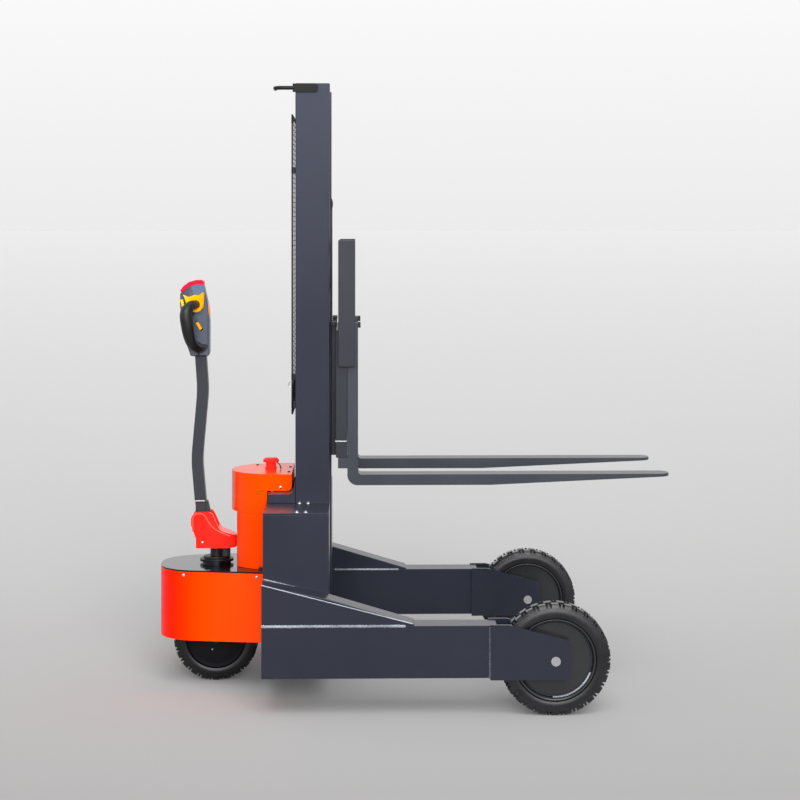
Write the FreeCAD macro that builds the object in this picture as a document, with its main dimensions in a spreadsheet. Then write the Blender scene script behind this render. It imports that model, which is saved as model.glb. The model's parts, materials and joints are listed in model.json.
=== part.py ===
import FreeCAD, Part
import math
import operator
import os
import Sketcher

# Electric walk-behind straddle stacker. Millimetres and degrees.
# +X points along the forks, +Y to the stacker's left, +Z up.
# The origin lies on the floor under the middle of the whole machine.

# Driving dimensions: name, value, meaning
SIZES = [
    ("body_half_width", 646, "centre to the outer face of a wheel plate"),
    ("wheel_plate", 12, "thickness of the plates that hold a straddle wheel"),
    ("leg_width", 110, "straddle leg tube, across"),
    ("leg_low", 140, "underside of legs and base above the floor"),
    ("leg_height", 187, "straddle leg tube, upright"),
    ("leg_wall", 8, "wall of the leg tube"),
    ("drain_radius", 8, "drain hole in the leg tube"),
    ("drain_setback", 64, "drain hole behind the leg's front end"),
    ("leg_front", 292, "front end of the leg tube"),
    ("base_back", -549, "back face of the base"),
    ("base_front", -310, "front face of base and mast"),
    ("base_top", 715, "top of the side boxes"),
    ("base_wall", 6, "sheet of the side boxes"),
    ("battery_height", 389, "battery block in a side box"),
    ("battery_gap", 12, "battery block to the wall of its box"),
    ("foot_rise", 102, "curve from a mast foot up the mast"),
    ("foot_curve", 20, "hollow curve of a mast foot"),
    ("gusset_back_top", 475, "top of the leg gusset at its back end"),
    ("gusset_bend", 423, "top of the gusset where it leaves the side box"),
    ("gusset_front", -3, "front tip of the gusset"),
    ("gusset_tip", 5, "height of the gusset's front edge"),
    ("wheel_radius", 200, "straddle wheel over its lugs"),
    ("wheel_width", 95, "straddle tyre, across"),
    ("wheel_x", 502, "straddle wheel axle"),
    ("rim_radius", 146, "steel disc of the straddle wheel"),
    ("rim_lip", 12, "depth of the disc's turned edge"),
    ("disc_web", 36, "thickness of the wheel disc inside its rim"),
    ("rim_inset", 4, "rim's edge inside the tyre's wall"),
    ("hub_play", 5, "gap between the straddle wheel's hub and its plates"),
    ("hub_radius", 42, "hub of the straddle wheel"),
    ("axle_radius", 17, "axle pin of the straddle wheel"),
    ("bearing_gap", 0.05, "running clearance on pins and shafts"),
    ("lug_depth", 12, "height of the tyre lugs"),
    ("lug_length", 27, "tyre lug, along the tread"),
    ("lug_pitch", 47.5, "about one lug and the gap after it, along the tread"),
    ("lug_gap", 8, "groove between the two rows of lugs"),
    ("tyre_shoulder", 8, "chamfer of the tyre and of its lugs"),
    ("tyre_bead", 6, "how far the tyre's bead is narrower than its wall"),
    ("plate_back", 268, "back edge of the wheel plates"),
    ("plate_front", 554, "front edge of the wheel plates"),
    ("plate_low", 134, "bottom edge of the wheel plates"),
    ("plate_top", 331, "top edge of the wheel plates"),
    ("plate_level", 66, "level part of a wheel plate's top edge"),
    ("plate_nose_top", 272, "top of the wheel plates' nose"),
    ("plate_round", 12, "upper corners of the wheel plates"),
    ("plate_nose_round", 24, "lower corner of the wheel plates' nose"),
    ("mast_half_width", 271, "centre to the outer face of a mast channel"),
    ("mast_depth", 129, "mast channel, front to back"),
    ("mast_top", 2290, "top of the mast channels"),
    ("channel_web", 10, "web of a mast channel"),
    ("channel_flange", 16, "flange thickness of a mast channel"),
    ("channel_width", 60, "mast channel, across"),
    ("beam_height", 90, "cross beams of the mast"),
    ("beam_over_barrel", 20, "middle cross beam over the barrel's top"),
    ("hook_drop", 18, "middle of the hook bar below the mast top"),
    ("hook_lug", 10, "thickness of the flat lug that carries the hook bar"),
    ("hook_lug_height", 32, "flat lug of the hook bar, upright"),
    ("hook_lug_reach", 86, "round end of the lug in front of the mast's back"),
    ("hook_radius", 7.5, "hook bar"),
    ("hook_reach", 84, "how far the hook bar stands out behind the mast"),
    ("hook_bend", 30, "bend of the hook bar"),
    ("hook_turn", 60, "turned end of the hook bar, across"),
    ("guard_gap", 12, "mast channel to mesh guard"),
    ("mesh_wire", 4, "mesh guard wires"),
    ("mesh_pitch", 62.5, "spacing of the mesh guard wires"),
    ("mesh_low", 1160, "lower edge of the mesh"),
    ("mesh_high", 2174, "upper edge of the mesh"),
    ("mesh_half_width", 250, "centre to the side of the mesh guard"),
    ("mesh_frame", 14, "edge bar of the mesh guard"),
    ("guard_plate_height", 114, "plate below the mesh"),
    ("standoff", 30, "blocks that hold the guard off the mast"),
    ("standoff_low", 40, "lower blocks above the guard's lower edge"),
    ("standoff_high", 215, "upper blocks below the guard's upper edge"),
    ("barrel_radius", 38, "lift cylinder barrel"),
    ("barrel_bore", 30, "bore radius of the barrel"),
    ("rod_radius", 22, "piston rod"),
    ("barrel_top", 1380, "top of the barrel"),
    ("gland_height", 40, "gland at the top of the barrel"),
    ("barrel_floor", 20, "closed foot of the barrel"),
    ("anchor_plate", 20, "plate on the barrel that holds the chains' rear ends"),
    ("crosshead_z", 1840, "chain pulley axle with the forks where they stand"),
    ("rod_length", 930, "piston rod below the crosshead"),
    ("crosshead_half", 30, "head of the piston rod, half its depth and its height over the pin"),
    ("crosshead_drop", 55, "underside of the rod's head below its pin"),
    ("pulley_pin", 12, "pin of the chain pulleys"),
    ("pulley_pin_end", 10, "pin end outside a pulley's chain"),
    ("pulley_flange", 4, "flanges of a pulley outside its chain"),
    ("pulley_play", 2, "pulley to the rod's head"),
    ("pulley_pitch", 42, "radius of the chain's centre line on a pulley"),
    ("chain_thickness", 12, "leaf chain, across its pins' height"),
    ("chain_width", 20, "leaf chain, along its pins"),
    ("chain_offset", 62, "centre to the chain"),
    ("chain_x", -309, "front strand of the chain"),
    ("roller_radius", 48.2, "carriage rollers"),
    ("roller_width", 44, "carriage rollers, across"),
    ("carriage_low", 889, "bottom of the lower fork bar"),
    ("bar_height", 54, "lower fork bar, upright"),
    ("upper_bar_height", 76, "upper fork bar, upright"),
    ("carriage_top", 1366, "top of the upper fork bar"),
    ("bar_front", -245, "front face of the fork bars"),
    ("bar_depth", 42, "fork bars, front to back"),
    ("upright_depth", 18, "carriage uprights, front to back"),
    ("upright_width", 30, "carriage uprights, across"),
    ("upright_rise", 29, "carriage uprights over the upper fork bar"),
    ("roller_plate_back", 34, "roller plates in front of the mast's back face"),
    ("roller_plate_rise", 30, "roller plates above the bottom of the lower fork bar"),
    ("low_roller_rise", 111, "lower rollers above the bottom of the lower fork bar"),
    ("high_roller_drop", 80, "upper rollers below the top of the upper fork bar"),
    ("roller_stub", 20, "stub axle of a carriage roller"),
    ("roller_play", 1, "roller to the mast channel's flange tip, across"),
    ("chain_lug_height", 60, "lugs that hold the front chains"),
    ("chain_lug_half", 15, "half of a chain lug, across"),
    ("side_plate", 12, "plates that carry the rollers"),
    ("side_plate_y", 197, "outer face of a roller plate"),
    ("fork_spread", 253, "centre to the middle of a fork"),
    ("fork_width", 100, "fork section, across"),
    ("fork_thickness", 40, "fork section, upright"),
    ("fork_top", 826, "load face of the forks above the floor"),
    ("fork_tip", 965, "tip of the forks"),
    ("fork_tip_thickness", 10, "thickness of the fork at its tip"),
    ("fork_taper", 290, "where the fork's taper starts"),
    ("fork_shank_top", 1392, "top of the fork shank"),
    ("fork_gap", 1, "fork shank to fork bar"),
    ("fork_heel", 38, "outer bend of the fork's heel"),
    ("fork_root", 13, "inner bend of the fork's heel"),
    ("fork_taper_round", 380, "bend where the fork's taper starts"),
    ("hook_setback", 8, "fork hooks in front of the fork bar's back face"),
    ("hook_height", 40, "lower fork hook below the lower fork bar"),
    ("fork_tip_round", 38, "rounded corners of the fork tip in plan"),
    ("fork_lock", 24, "block of the fork's lock lever, across"),
    ("fork_lock_height", 19, "block of the fork's lock lever, upright"),
    ("fork_lock_reach", 9, "lock block in front of the shank"),
    ("post_depth", 63, "upright post, front to back"),
    ("post_width", 30, "upright post, across"),
    ("post_lead", 29, "front of the posts before the back of the fork shanks"),
    ("post_bar", 12, "flat bars between the posts, front to back"),
    ("post_bar_height", 40, "flat bars between the posts, upright"),
    ("post_bar_inset", 10, "flat bars behind the posts' edges"),
    ("post_bar_spread", 150, "lower flat bar below the posts' top"),
    ("post_low", 1230, "bottom of the upright posts"),
    ("post_top", 1702, "top of the upright posts"),
    ("cover_front", -965, "nose of the drive cover"),
    ("cover_nose_radius", 160, "round nose of the drive cover"),
    ("cover_nose_half", 160, "half width of the drive cover where its nose begins"),
    ("cover_side", 232, "half width of the drive cover at the base"),
    ("cover_low", 183, "lower edge of the drive cover"),
    ("cover_wall", 3, "sheet of the drive cover"),
    ("deck_top", 449, "top of the black plate over the drive wheel"),
    ("deck_thickness", 6, "black plate over the drive wheel"),
    ("steer_x", -752, "steering axis and drive wheel axle"),
    ("drive_radius", 163, "drive wheel over its lugs"),
    ("drive_width", 100, "drive tyre, across"),
    ("drive_rim", 112, "radius where the drive tyre sits"),
    ("drive_boss", 45, "boss of the drive wheel's hub"),
    ("drive_dish", 14, "web of the drive wheel's hub inside the tyre's wall"),
    ("drive_axle", 20, "radius of the drive wheel's shaft"),
    ("column_radius", 25, "steering column"),
    ("column_height", 62, "steering column above the deck"),
    ("bearing_radius", 55, "steering bearing on the deck"),
    ("bearing_height", 8, "steering bearing on the deck"),
    ("flange_radius", 65, "flange on top of the steering bearing"),
    ("flange_thickness", 5, "flange on top of the steering bearing"),
    ("turntable_radius", 110, "turntable under the deck"),
    ("gearbox_gap", 6, "drive tyre to the gearbox"),
    ("gearbox_half", 55, "half of the gearbox, front to back"),
    ("gearbox_width", 26, "gearbox of the drive wheel, across"),
    ("motor_radius", 48, "drive motor"),
    ("motor_rise", 130, "drive motor above the wheel's axle"),
    ("motor_length", 78, "drive motor, across"),
    ("housing_gap", 6, "flange to the housing beside the column"),
    ("damper_radius", 19, "housing beside the steering column"),
    ("damper_offset", 34, "steering axis to the housing beside it"),
    ("hood_half_width", 181, "centre to the side of the hood"),
    ("hood_nose", -693, "nose of the upper hood"),
    ("hood_step", 25, "flat end of the lower hood behind the nose of the upper one"),
    ("hood_split", 659, "seam between the lower and upper hood"),
    ("hood_top", 812, "top of the hood"),
    ("hood_end", -455, "front end of the upper hood"),
    ("hood_foot", 749, "underside of the hood over the base"),
    ("hood_wall", 4, "wall of the hood"),
    ("pack_gap", 45, "hood to the power pack inside it"),
    ("hood_corner", 18, "rounded lower corner of the upper hood's end"),
    ("button_x", -542, "emergency button"),
    ("button_height", 43, "emergency button above the hood"),
    ("button_radius", 31, "mushroom head of the emergency button"),
    ("button_head", 17, "mushroom head of the emergency button, upright"),
    ("button_collar", 23, "collar of the emergency button on the hood"),
    ("button_neck", 20, "neck of the emergency button"),
    ("button_edge", 8, "sloping edge of the button's head"),
    ("cover_half_width", 52, "centre to the side of the tiller base cover"),
    ("cowl_front", -674, "front end of the tiller base cover"),
    ("cowl_nose_height", 47, "front end of the tiller base cover, upright"),
    ("cowl_waist_x", -736, "foot of the cover's dome"),
    ("cowl_waist_height", 67, "foot of the cover's dome above the cover's underside"),
    ("cowl_dome_x", -770, "front of the cover's dome"),
    ("cowl_top", 651, "top of the cover's dome"),
    ("cowl_back", -848, "back of the cover's dome"),
    ("cowl_belly_height", 89, "lower end of the dome's back above the cover's underside"),
    ("cowl_heel_x", -829, "back of the cover's foot"),
    ("cowl_heel_height", 37, "back of the cover's foot, upright"),
    ("arm_half_width", 28, "half of the tiller arm, across"),
    ("arm_depth", 43, "tiller arm, front to back"),
    ("arm_slot_gap", 8, "tiller arm to the slot in its cover"),
    ("pivot_x", -795, "tiller pivot"),
    ("pivot_z", 622, "tiller pivot above the floor"),
    ("pivot_radius", 10, "tiller pivot pin"),
    ("pivot_lug", 26, "round lug of the arm about its pivot"),
    ("pivot_lug_half", 20, "half of the arm's lug, across"),
    ("clevis_ear", 14, "thickness of the ears that hold the pivot pin"),
    ("clevis_half", 20, "round top of the ears about the pivot"),
    ("clevis_foot", 20, "foot plate under the ears"),
    ("foot_back", 63, "foot plate behind the steering axis"),
    ("foot_front", 54, "foot plate in front of the steering axis"),
    ("spine_foot_x", -814, "middle line of the tiller arm at its foot"),
    ("spine_foot_z", 690, "foot of the tiller arm"),
    ("spine_bow_x", -828, "middle line of the arm where it bows out"),
    ("spine_bow_z", 850, "height where the arm bows out"),
    ("spine_neck_x", -804, "middle line of the arm where it bends back"),
    ("spine_neck_z", 1120, "height where the arm bends back"),
    ("spine_top_x", -813, "middle line of the arm at its top"),
    ("spine_bend", 500, "bends of the tiller arm"),
    ("arm_top", 1250, "top end of the tiller arm, under the head"),
    ("collar_height", 40, "collar at the foot of the arm"),
    ("collar_step", 3, "collar narrower than the arm"),
    ("head_half_width", 36, "half of the tiller head, across"),
    ("head_front", -777, "front face of the tiller head"),
    ("head_front_z", 1388, "height where the head's front face leans back"),
    ("head_top", 1522, "top of the tiller head"),
    ("head_top_front", -799, "front end of the head's top"),
    ("head_top_back", -850, "back end of the head's level top"),
    ("head_point_x", -895, "point of the head towards the driver"),
    ("head_point_z", 1494, "height of the head's point"),
    ("head_edge_x", -892, "back edge of the head under its point"),
    ("head_edge_z", 1448, "height of the back edge under the point"),
    ("head_waist_x", -863, "back edge of the head over its foot"),
    ("head_waist_z", 1287, "height of the back edge over the foot"),
    ("head_foot_back", -850, "back end of the head's underside"),
    ("bow_half_width", 29, "half of the reversing button, across"),
    ("bow_top", 1546, "top of the reversing button"),
    ("thumb_thickness", 20, "throttle plates, across"),
    ("thumb_reach", 50, "tallest ear of a throttle plate above the loop's root"),
    ("grip_radius", 20, "hand loop"),
    ("grip_reach", 110, "how far the hand loops stand out sideways"),
    ("grip_bend", 42, "bends of the hand loops"),
    ("grip_top_x", -833, "upper end of the hand loops"),
    ("grip_top_z", 1449, "height of the loops' upper end"),
    ("grip_foot_x", -806, "lower end of the hand loops"),
    ("grip_foot_z", 1284, "height of the loops' lower end"),
]

doc = FreeCAD.newDocument("straddle_stacker")
sheet = doc.addObject("Spreadsheet::Sheet", "Sizes")


# Dimensions that remember their expression

OPERATIONS = {"+": operator.add, "-": operator.sub, "*": operator.mul, "/": operator.truediv}


class Dim:
    """A number together with the expression that gives it from the sheet."""

    def __init__(self, value, text):
        self.value = float(value)
        self.text = text

    def __add__(self, other):
        return combine(self, "+", other)

    def __radd__(self, other):
        return combine(other, "+", self)

    def __sub__(self, other):
        return combine(self, "-", other)

    def __rsub__(self, other):
        return combine(other, "-", self)

    def __mul__(self, other):
        return combine(self, "*", other)

    def __rmul__(self, other):
        return combine(other, "*", self)

    def __truediv__(self, other):
        return combine(self, "/", other)

    def __neg__(self):
        return combine(-1, "*", self)


def as_dim(number):
    """Gives a plain number the same form as a size from the sheet."""
    if isinstance(number, Dim):
        return number
    return Dim(number, "(%s)" % round(float(number), 6))


def combine(left, sign, right):
    left = as_dim(left)
    right = as_dim(right)
    value = OPERATIONS[sign](left.value, right.value)
    return Dim(value, "(%s %s %s)" % (left.text, sign, right.text))


class SizeSet:
    """The driving dimensions, one attribute each."""


def fill_sheet():
    sizes = SizeSet()
    for row, (alias, value, meaning) in enumerate(SIZES, start=1):
        sheet.set("A%d" % row, alias)
        sheet.set("B%d" % row, str(value))
        sheet.setAlias("B%d" % row, alias)
        sheet.set("C%d" % row, meaning)
        setattr(sizes, alias, Dim(value, "Sizes." + alias))
    doc.recompute()
    return sizes


size = fill_sheet()


# Drawing tools

NODES = []
TURNS = {
    "x": FreeCAD.Rotation(FreeCAD.Vector(0, 1, 0), 90),
    "y": FreeCAD.Rotation(FreeCAD.Vector(1, 0, 0), -90),
    "z": FreeCAD.Rotation(),
}
PLANES = {"xy": "XY_Plane", "xz": "XZ_Plane", "yz": "YZ_Plane"}
SHAFT_GAP = 0.3
LEFT, RIGHT = 1, -1
SIDES = (("left", LEFT), ("right", RIGHT))


def bind(item, path, number):
    item.setExpression(path, as_dim(number).text)


def place(item, x, y, z):
    for axis, number in zip("xyz", (x, y, z)):
        bind(item, "Placement.Base." + axis, number)


def node(name, solid):
    """Marks a finished sub-part, which is written to a file of its own."""
    solid.Label = name
    NODES.append(solid)
    return solid


def span(side, near, far):
    """Low and high Y of a stretch that lies between two distances from the centre, on one side."""
    if side == LEFT:
        return near, far
    return -far, -near


def box(name, x, y, z):
    """A block; x, y and z are its (low, high) pairs."""
    solid = doc.addObject("Part::Box", name)
    for extent, (low, high) in zip(("Length", "Width", "Height"), (x, y, z)):
        bind(solid, extent, as_dim(high) - low)
    place(solid, x[0], y[0], z[0])
    return solid


def rod(name, axis, radius, corner, length):
    """A round bar from corner (x, y, z) along an axis."""
    solid = doc.addObject("Part::Cylinder", name)
    bind(solid, "Radius", radius)
    bind(solid, "Height", length)
    solid.Placement = FreeCAD.Placement(FreeCAD.Vector(), TURNS[axis])
    place(solid, *corner)
    return solid


def fuse(name, *parts):
    solid = doc.addObject("Part::MultiFuse", name)
    solid.Shapes = list(parts)
    solid.Refine = True
    return solid


def cut(name, base, *tools):
    tool = tools[0]
    if len(tools) > 1:
        tool = fuse(name + "_tools", *tools)
    solid = doc.addObject("Part::Cut", name)
    solid.Base = base
    solid.Tool = tool
    return solid


def common(name, base, tool):
    solid = doc.addObject("Part::Common", name)
    solid.Base = base
    solid.Tool = tool
    return solid


def group(name, *parts):
    """Like pieces that do not touch and share a node."""
    solid = doc.addObject("Part::Compound", name)
    solid.Links = list(parts)
    return solid


def sketch_on(body, plane, height=0):
    sketch = body.newObject("Sketcher::SketchObject", body.Name + "_sketch")
    origin_plane = [item for item in body.Origin.OriginFeatures if item.Role == PLANES[plane]][0]
    sketch.AttachmentSupport = [(origin_plane, "")]
    sketch.MapMode = "FlatFace"
    bind(sketch, "AttachmentOffset.Base.z", height)
    return sketch


def flat(point):
    return FreeCAD.Vector(as_dim(point[0]).value, as_dim(point[1]).value, 0)


def pin_point(sketch, element, end, point):
    """Ties one end of a sketch element to its dimensions from the origin."""
    for kind, number in (("DistanceX", point[0]), ("DistanceY", point[1])):
        number = as_dim(number)
        mark = sketch.addConstraint(Sketcher.Constraint(kind, -1, 1, element, end, number.value))
        sketch.setExpression("Constraints[%d]" % mark, number.text)


def rounded_corner(sketch, before, corner, after, lines, radius):
    """An arc tangent to two lines whose virtual crossing is a dimensioned point."""
    into = (flat(corner) - flat(before)).normalize()
    out = (flat(after) - flat(corner)).normalize()
    turn = math.atan2(into.x * out.y - into.y * out.x, into.dot(out))
    reach = radius.value * math.tan(abs(turn) / 2)
    hand = 1 if turn > 0 else -1
    first = flat(corner) - into * reach
    last = flat(corner) + out * reach
    centre = first + FreeCAD.Vector(-into.y, into.x, 0) * radius.value * hand
    starts = [math.atan2(point.y - centre.y, point.x - centre.x) for point in (first, last)]
    if hand < 0:
        starts.reverse()
    if starts[1] < starts[0]:
        starts[1] += 2 * math.pi
    circle = Part.Circle(centre, FreeCAD.Vector(0, 0, 1), radius.value)
    arc = sketch.addGeometry(Part.ArcOfCircle(circle, starts[0], starts[1]))
    crossing = sketch.addGeometry(Part.Point(flat(corner)), True)
    arc_first, arc_last = (1, 2) if hand > 0 else (2, 1)
    sketch.addConstraint(Sketcher.Constraint("Tangent", lines[0], 2, arc, arc_first))
    sketch.addConstraint(Sketcher.Constraint("Tangent", lines[1], 1, arc, arc_last))
    for line in lines:
        sketch.addConstraint(Sketcher.Constraint("PointOnObject", crossing, 1, line))
    mark = sketch.addConstraint(Sketcher.Constraint("Radius", arc, radius.value))
    sketch.setExpression("Constraints[%d]" % mark, radius.text)
    pin_point(sketch, crossing, 1, corner)


def corner_reach(before, corner, after, radius):
    """Length that a rounded corner takes from each of its two sides."""
    into = (flat(corner) - flat(before)).normalize()
    out = (flat(after) - flat(corner)).normalize()
    turn = math.atan2(into.x * out.y - into.y * out.x, into.dot(out))
    return as_dim(radius).value * math.tan(abs(turn) / 2)


def outline(sketch, corners, closed=True):
    """Straight sides through corners (across, up) or (across, up, radius of a rounded corner)."""
    count = len(corners)
    reaches = []
    for index, corner in enumerate(corners):
        if len(corner) < 3:
            reaches.append(0)
            continue
        reaches.append(corner_reach(corners[index - 1], corner, corners[(index + 1) % count], corner[2]))
    lines = []
    for index in range(count if closed else count - 1):
        after = (index + 1) % count
        start, end = flat(corners[index]), flat(corners[after])
        along = (end - start).normalize()
        side = Part.LineSegment(start + along * reaches[index], end - along * reaches[after])
        lines.append(sketch.addGeometry(side))
    for index, corner in enumerate(corners):
        if not closed and index == 0:
            pin_point(sketch, lines[0], 1, corner)
            continue
        if not closed and index == count - 1:
            pin_point(sketch, lines[-1], 2, corner)
            continue
        pair = (lines[index - 1], lines[index])
        if len(corner) < 3:
            sketch.addConstraint(Sketcher.Constraint("Coincident", pair[0], 2, pair[1], 1))
            pin_point(sketch, pair[1], 1, corner)
            continue
        neighbours = (corners[index - 1], corner, corners[(index + 1) % count])
        rounded_corner(sketch, *neighbours, pair, as_dim(corner[2]))
    return sketch


def prism(name, plane, corners, start, end):
    """A body padded from an outline between two places on the plane's own axis."""
    body = doc.addObject("PartDesign::Body", name)
    height = -as_dim(end) if plane == "xz" else start
    sketch = outline(sketch_on(body, plane, height), corners)
    pad = body.newObject("PartDesign::Pad", name + "_pad")
    pad.Profile = sketch
    bind(pad, "Length", as_dim(end) - start)
    return body


def turned(name, corners, axis="z", centre=(0, 0, 0)):
    """A body revolved from a profile of (radius, height) corners, its axis along x, y or z."""
    body = doc.addObject("PartDesign::Body", name)
    sketch = outline(sketch_on(body, "xz"), corners)
    turn = body.newObject("PartDesign::Revolution", name + "_turn")
    turn.Profile = sketch
    turn.ReferenceAxis = (sketch, ["V_Axis"])
    turn.Angle = 360
    body.Placement = FreeCAD.Placement(FreeCAD.Vector(), TURNS[axis])
    place(body, *centre)
    return body


def ring_of_blocks(body, name, corners, sector, start, count):
    """Adds a block turned through a few degrees to a turned body, repeated all round it."""
    sketch = sketch_on(body, "xz")
    sketch.AttachmentOffset = FreeCAD.Placement(
        FreeCAD.Vector(), FreeCAD.Rotation(FreeCAD.Vector(0, 1, 0), start))
    outline(sketch, corners)
    block = body.newObject("PartDesign::Revolution", name + "_block")
    block.Profile = sketch
    block.ReferenceAxis = (sketch, ["V_Axis"])
    block.Midplane = True
    bind(block, "Angle", sector)
    ring = body.newObject("PartDesign::PolarPattern", name + "_ring")
    ring.Originals = [block]
    ring.Axis = (sketch, ["V_Axis"])
    ring.Angle = 360
    ring.Occurrences = count
    body.Tip = ring


def bent_bar(name, corners, section_radius):
    """A round bar swept along a path of straight runs and tangent arcs in the body's XY plane."""
    body = doc.addObject("PartDesign::Body", name)
    path = outline(sketch_on(body, "xy"), corners, closed=False)
    profile = body.newObject("Sketcher::SketchObject", name + "_section")
    origin_plane = [item for item in body.Origin.OriginFeatures if item.Role == PLANES["yz"]][0]
    profile.AttachmentSupport = [(origin_plane, "")]
    profile.MapMode = "FlatFace"
    bind(profile, "AttachmentOffset.Base.z", corners[0][0])
    circle = Part.Circle(flat((corners[0][1], 0)), FreeCAD.Vector(0, 0, 1), as_dim(section_radius).value)
    ring = profile.addGeometry(circle)
    pin_point(profile, ring, 3, (corners[0][1], 0))
    mark = profile.addConstraint(Sketcher.Constraint("Radius", ring, as_dim(section_radius).value))
    profile.setExpression("Constraints[%d]" % mark, as_dim(section_radius).text)
    pipe = body.newObject("PartDesign::AdditivePipe", name + "_pipe")
    pipe.Profile = profile
    pipe.Spine = (path, [])
    return body


# Places that several pieces share

leg_inner = size.body_half_width - size.wheel_plate - size.leg_width
leg_outer = size.body_half_width - size.wheel_plate
leg_top = size.leg_low + size.leg_height
mast_back = size.base_front - size.mast_depth
web_inner = size.mast_half_width - size.channel_web
flange_tip = size.mast_half_width - size.channel_width
floor_thickness = size.base_wall * 2
channel_foot = size.leg_low + floor_thickness
lift_x = size.chain_x - size.pulley_pitch
roller_x = size.base_front - size.mast_depth / 2
bar_back = size.bar_front - size.bar_depth
upright_back = bar_back - size.upright_depth
fork_back = size.bar_front + size.fork_gap
fork_front = fork_back + size.fork_thickness
fork_outer = size.fork_spread + size.fork_width / 2
deck_low = size.deck_top - size.deck_thickness


# Base: side boxes, lids, floor, back plate and mast feet

def side_box(name, side):
    """An open-topped sheet box between mast and leg."""
    shell_top = size.base_top - size.base_wall
    shell = box(name + "_block", (size.base_back, size.base_front),
                span(side, size.mast_half_width, leg_inner), (size.leg_low, shell_top))
    room = box(name + "_room", (size.base_back + size.base_wall, size.base_front - size.base_wall),
               span(side, size.mast_half_width + size.base_wall, leg_inner - size.base_wall),
               (size.leg_low + size.base_wall, shell_top + 1))
    node(name, cut(name, shell, room))


def box_lid(side):
    return box("lid_%s" % ("left" if side == LEFT else "right"), (size.base_back, size.base_front),
               span(side, size.mast_half_width, leg_inner), (size.base_top - size.base_wall, size.base_top))


def battery_block(side):
    gap = size.battery_gap
    low = size.leg_low + size.base_wall
    return box("battery_%s" % ("left" if side == LEFT else "right"),
               (size.base_back + gap, size.base_front - gap),
               span(side, size.mast_half_width + gap, leg_inner - gap), (low, low + size.battery_height))


def mast_foot(side):
    """A plate behind the mast channel, with a hollow curve up to it."""
    rise = size.base_top + size.foot_rise
    corners = [
        (size.base_back + size.base_wall, size.base_top),
        (mast_back, size.base_top),
        (mast_back, rise),
        (mast_back - size.channel_web, size.hood_foot, size.foot_curve),
        (size.base_back + size.base_wall, size.hood_foot),
    ]
    name = "foot_%s" % ("left" if side == LEFT else "right")
    low, high = span(side, flange_tip, size.mast_half_width)
    return prism(name, "xz", corners, low, high)


def make_base():
    for word, side in SIDES:
        side_box("side_box_" + word, side)
    node("box_lids", group("box_lids", box_lid(LEFT), box_lid(RIGHT)))
    node("battery", group("battery", battery_block(LEFT), battery_block(RIGHT)))
    inner = (-size.mast_half_width, size.mast_half_width)
    node("base_floor", box("base_floor", (size.base_back, size.base_front), inner,
                           (size.leg_low, channel_foot)))
    wall = box("back_wall", (size.base_back, size.base_back + size.base_wall), inner,
               (channel_foot, size.base_top))
    shelf = box("back_shelf", (size.base_back + size.base_wall, mast_back), inner,
                (size.base_top - size.base_wall, size.base_top))
    node("base_back", fuse("base_back", wall, shelf))
    node("mast_feet", group("mast_feet", mast_foot(LEFT), mast_foot(RIGHT)))


# Straddle legs with their gussets, wheel plates and axle pins

def leg_tube(name, side):
    """A closed box section with a drain hole underneath."""
    wall = size.leg_wall
    outer = box(name + "_outer", (size.base_back, size.leg_front), span(side, leg_inner, leg_outer),
                (size.leg_low, leg_top))
    inner = box(name + "_inner", (size.base_back + wall, size.leg_front - wall),
                span(side, leg_inner + wall, leg_outer - wall), (size.leg_low + wall, leg_top - wall))
    middle = side * (leg_inner + size.leg_width / 2)
    drain = rod(name + "_drain", "z", size.drain_radius,
                (size.leg_front - size.drain_setback, middle, size.leg_low - 1), wall + 2)
    node(name, cut(name, outer, inner, drain))


def leg_gusset(name, side):
    """A wedge box that stiffens the leg's root."""
    corners = [
        (size.base_back, leg_top),
        (size.gusset_front, leg_top),
        (size.gusset_front, leg_top + size.gusset_tip),
        (size.base_front, size.gusset_bend),
        (size.base_back, size.gusset_back_top),
    ]
    low, high = span(side, leg_inner, leg_outer)
    node(name, prism(name, "xz", corners, low, high))


def wheel_plate(name, low, high):
    """One of the two plates that hold an axle pin: level on top, sloping to a blunt nose."""
    corners = [
        (size.plate_back, size.plate_low),
        (size.plate_front, size.plate_low, size.plate_nose_round),
        (size.plate_front, size.plate_nose_top, size.plate_round),
        (size.plate_back + size.plate_level, size.plate_top, size.plate_round),
        (size.plate_back, size.plate_top),
    ]
    plate = prism(name + "_plate", "xz", corners, low, high)
    hole = rod(name + "_hole", "y", size.axle_radius, (size.wheel_x, low - 1, size.wheel_radius),
               size.wheel_plate + 2)
    return cut(name, plate, hole)


def make_legs():
    pins = []
    for word, side in SIDES:
        leg_tube("leg_tube_" + word, side)
        leg_gusset("leg_gusset_" + word, side)
        outer = wheel_plate("outer_plate_" + word, *span(side, leg_outer, size.body_half_width))
        inner = wheel_plate("inner_plate_" + word, *span(side, leg_inner - size.wheel_plate, leg_inner))
        node("wheel_plates_" + word, group("wheel_plates_" + word, outer, inner))
        low, high = span(side, leg_inner - size.wheel_plate, size.body_half_width)
        pins.append(rod("pin_" + word, "y", size.axle_radius, (size.wheel_x, low, size.wheel_radius),
                        high - low))
    node("axles", group("axles", *pins))


# Straddle wheels: a steel disc with a hub and a tyre

LUG_SINK = 0.5


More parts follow.
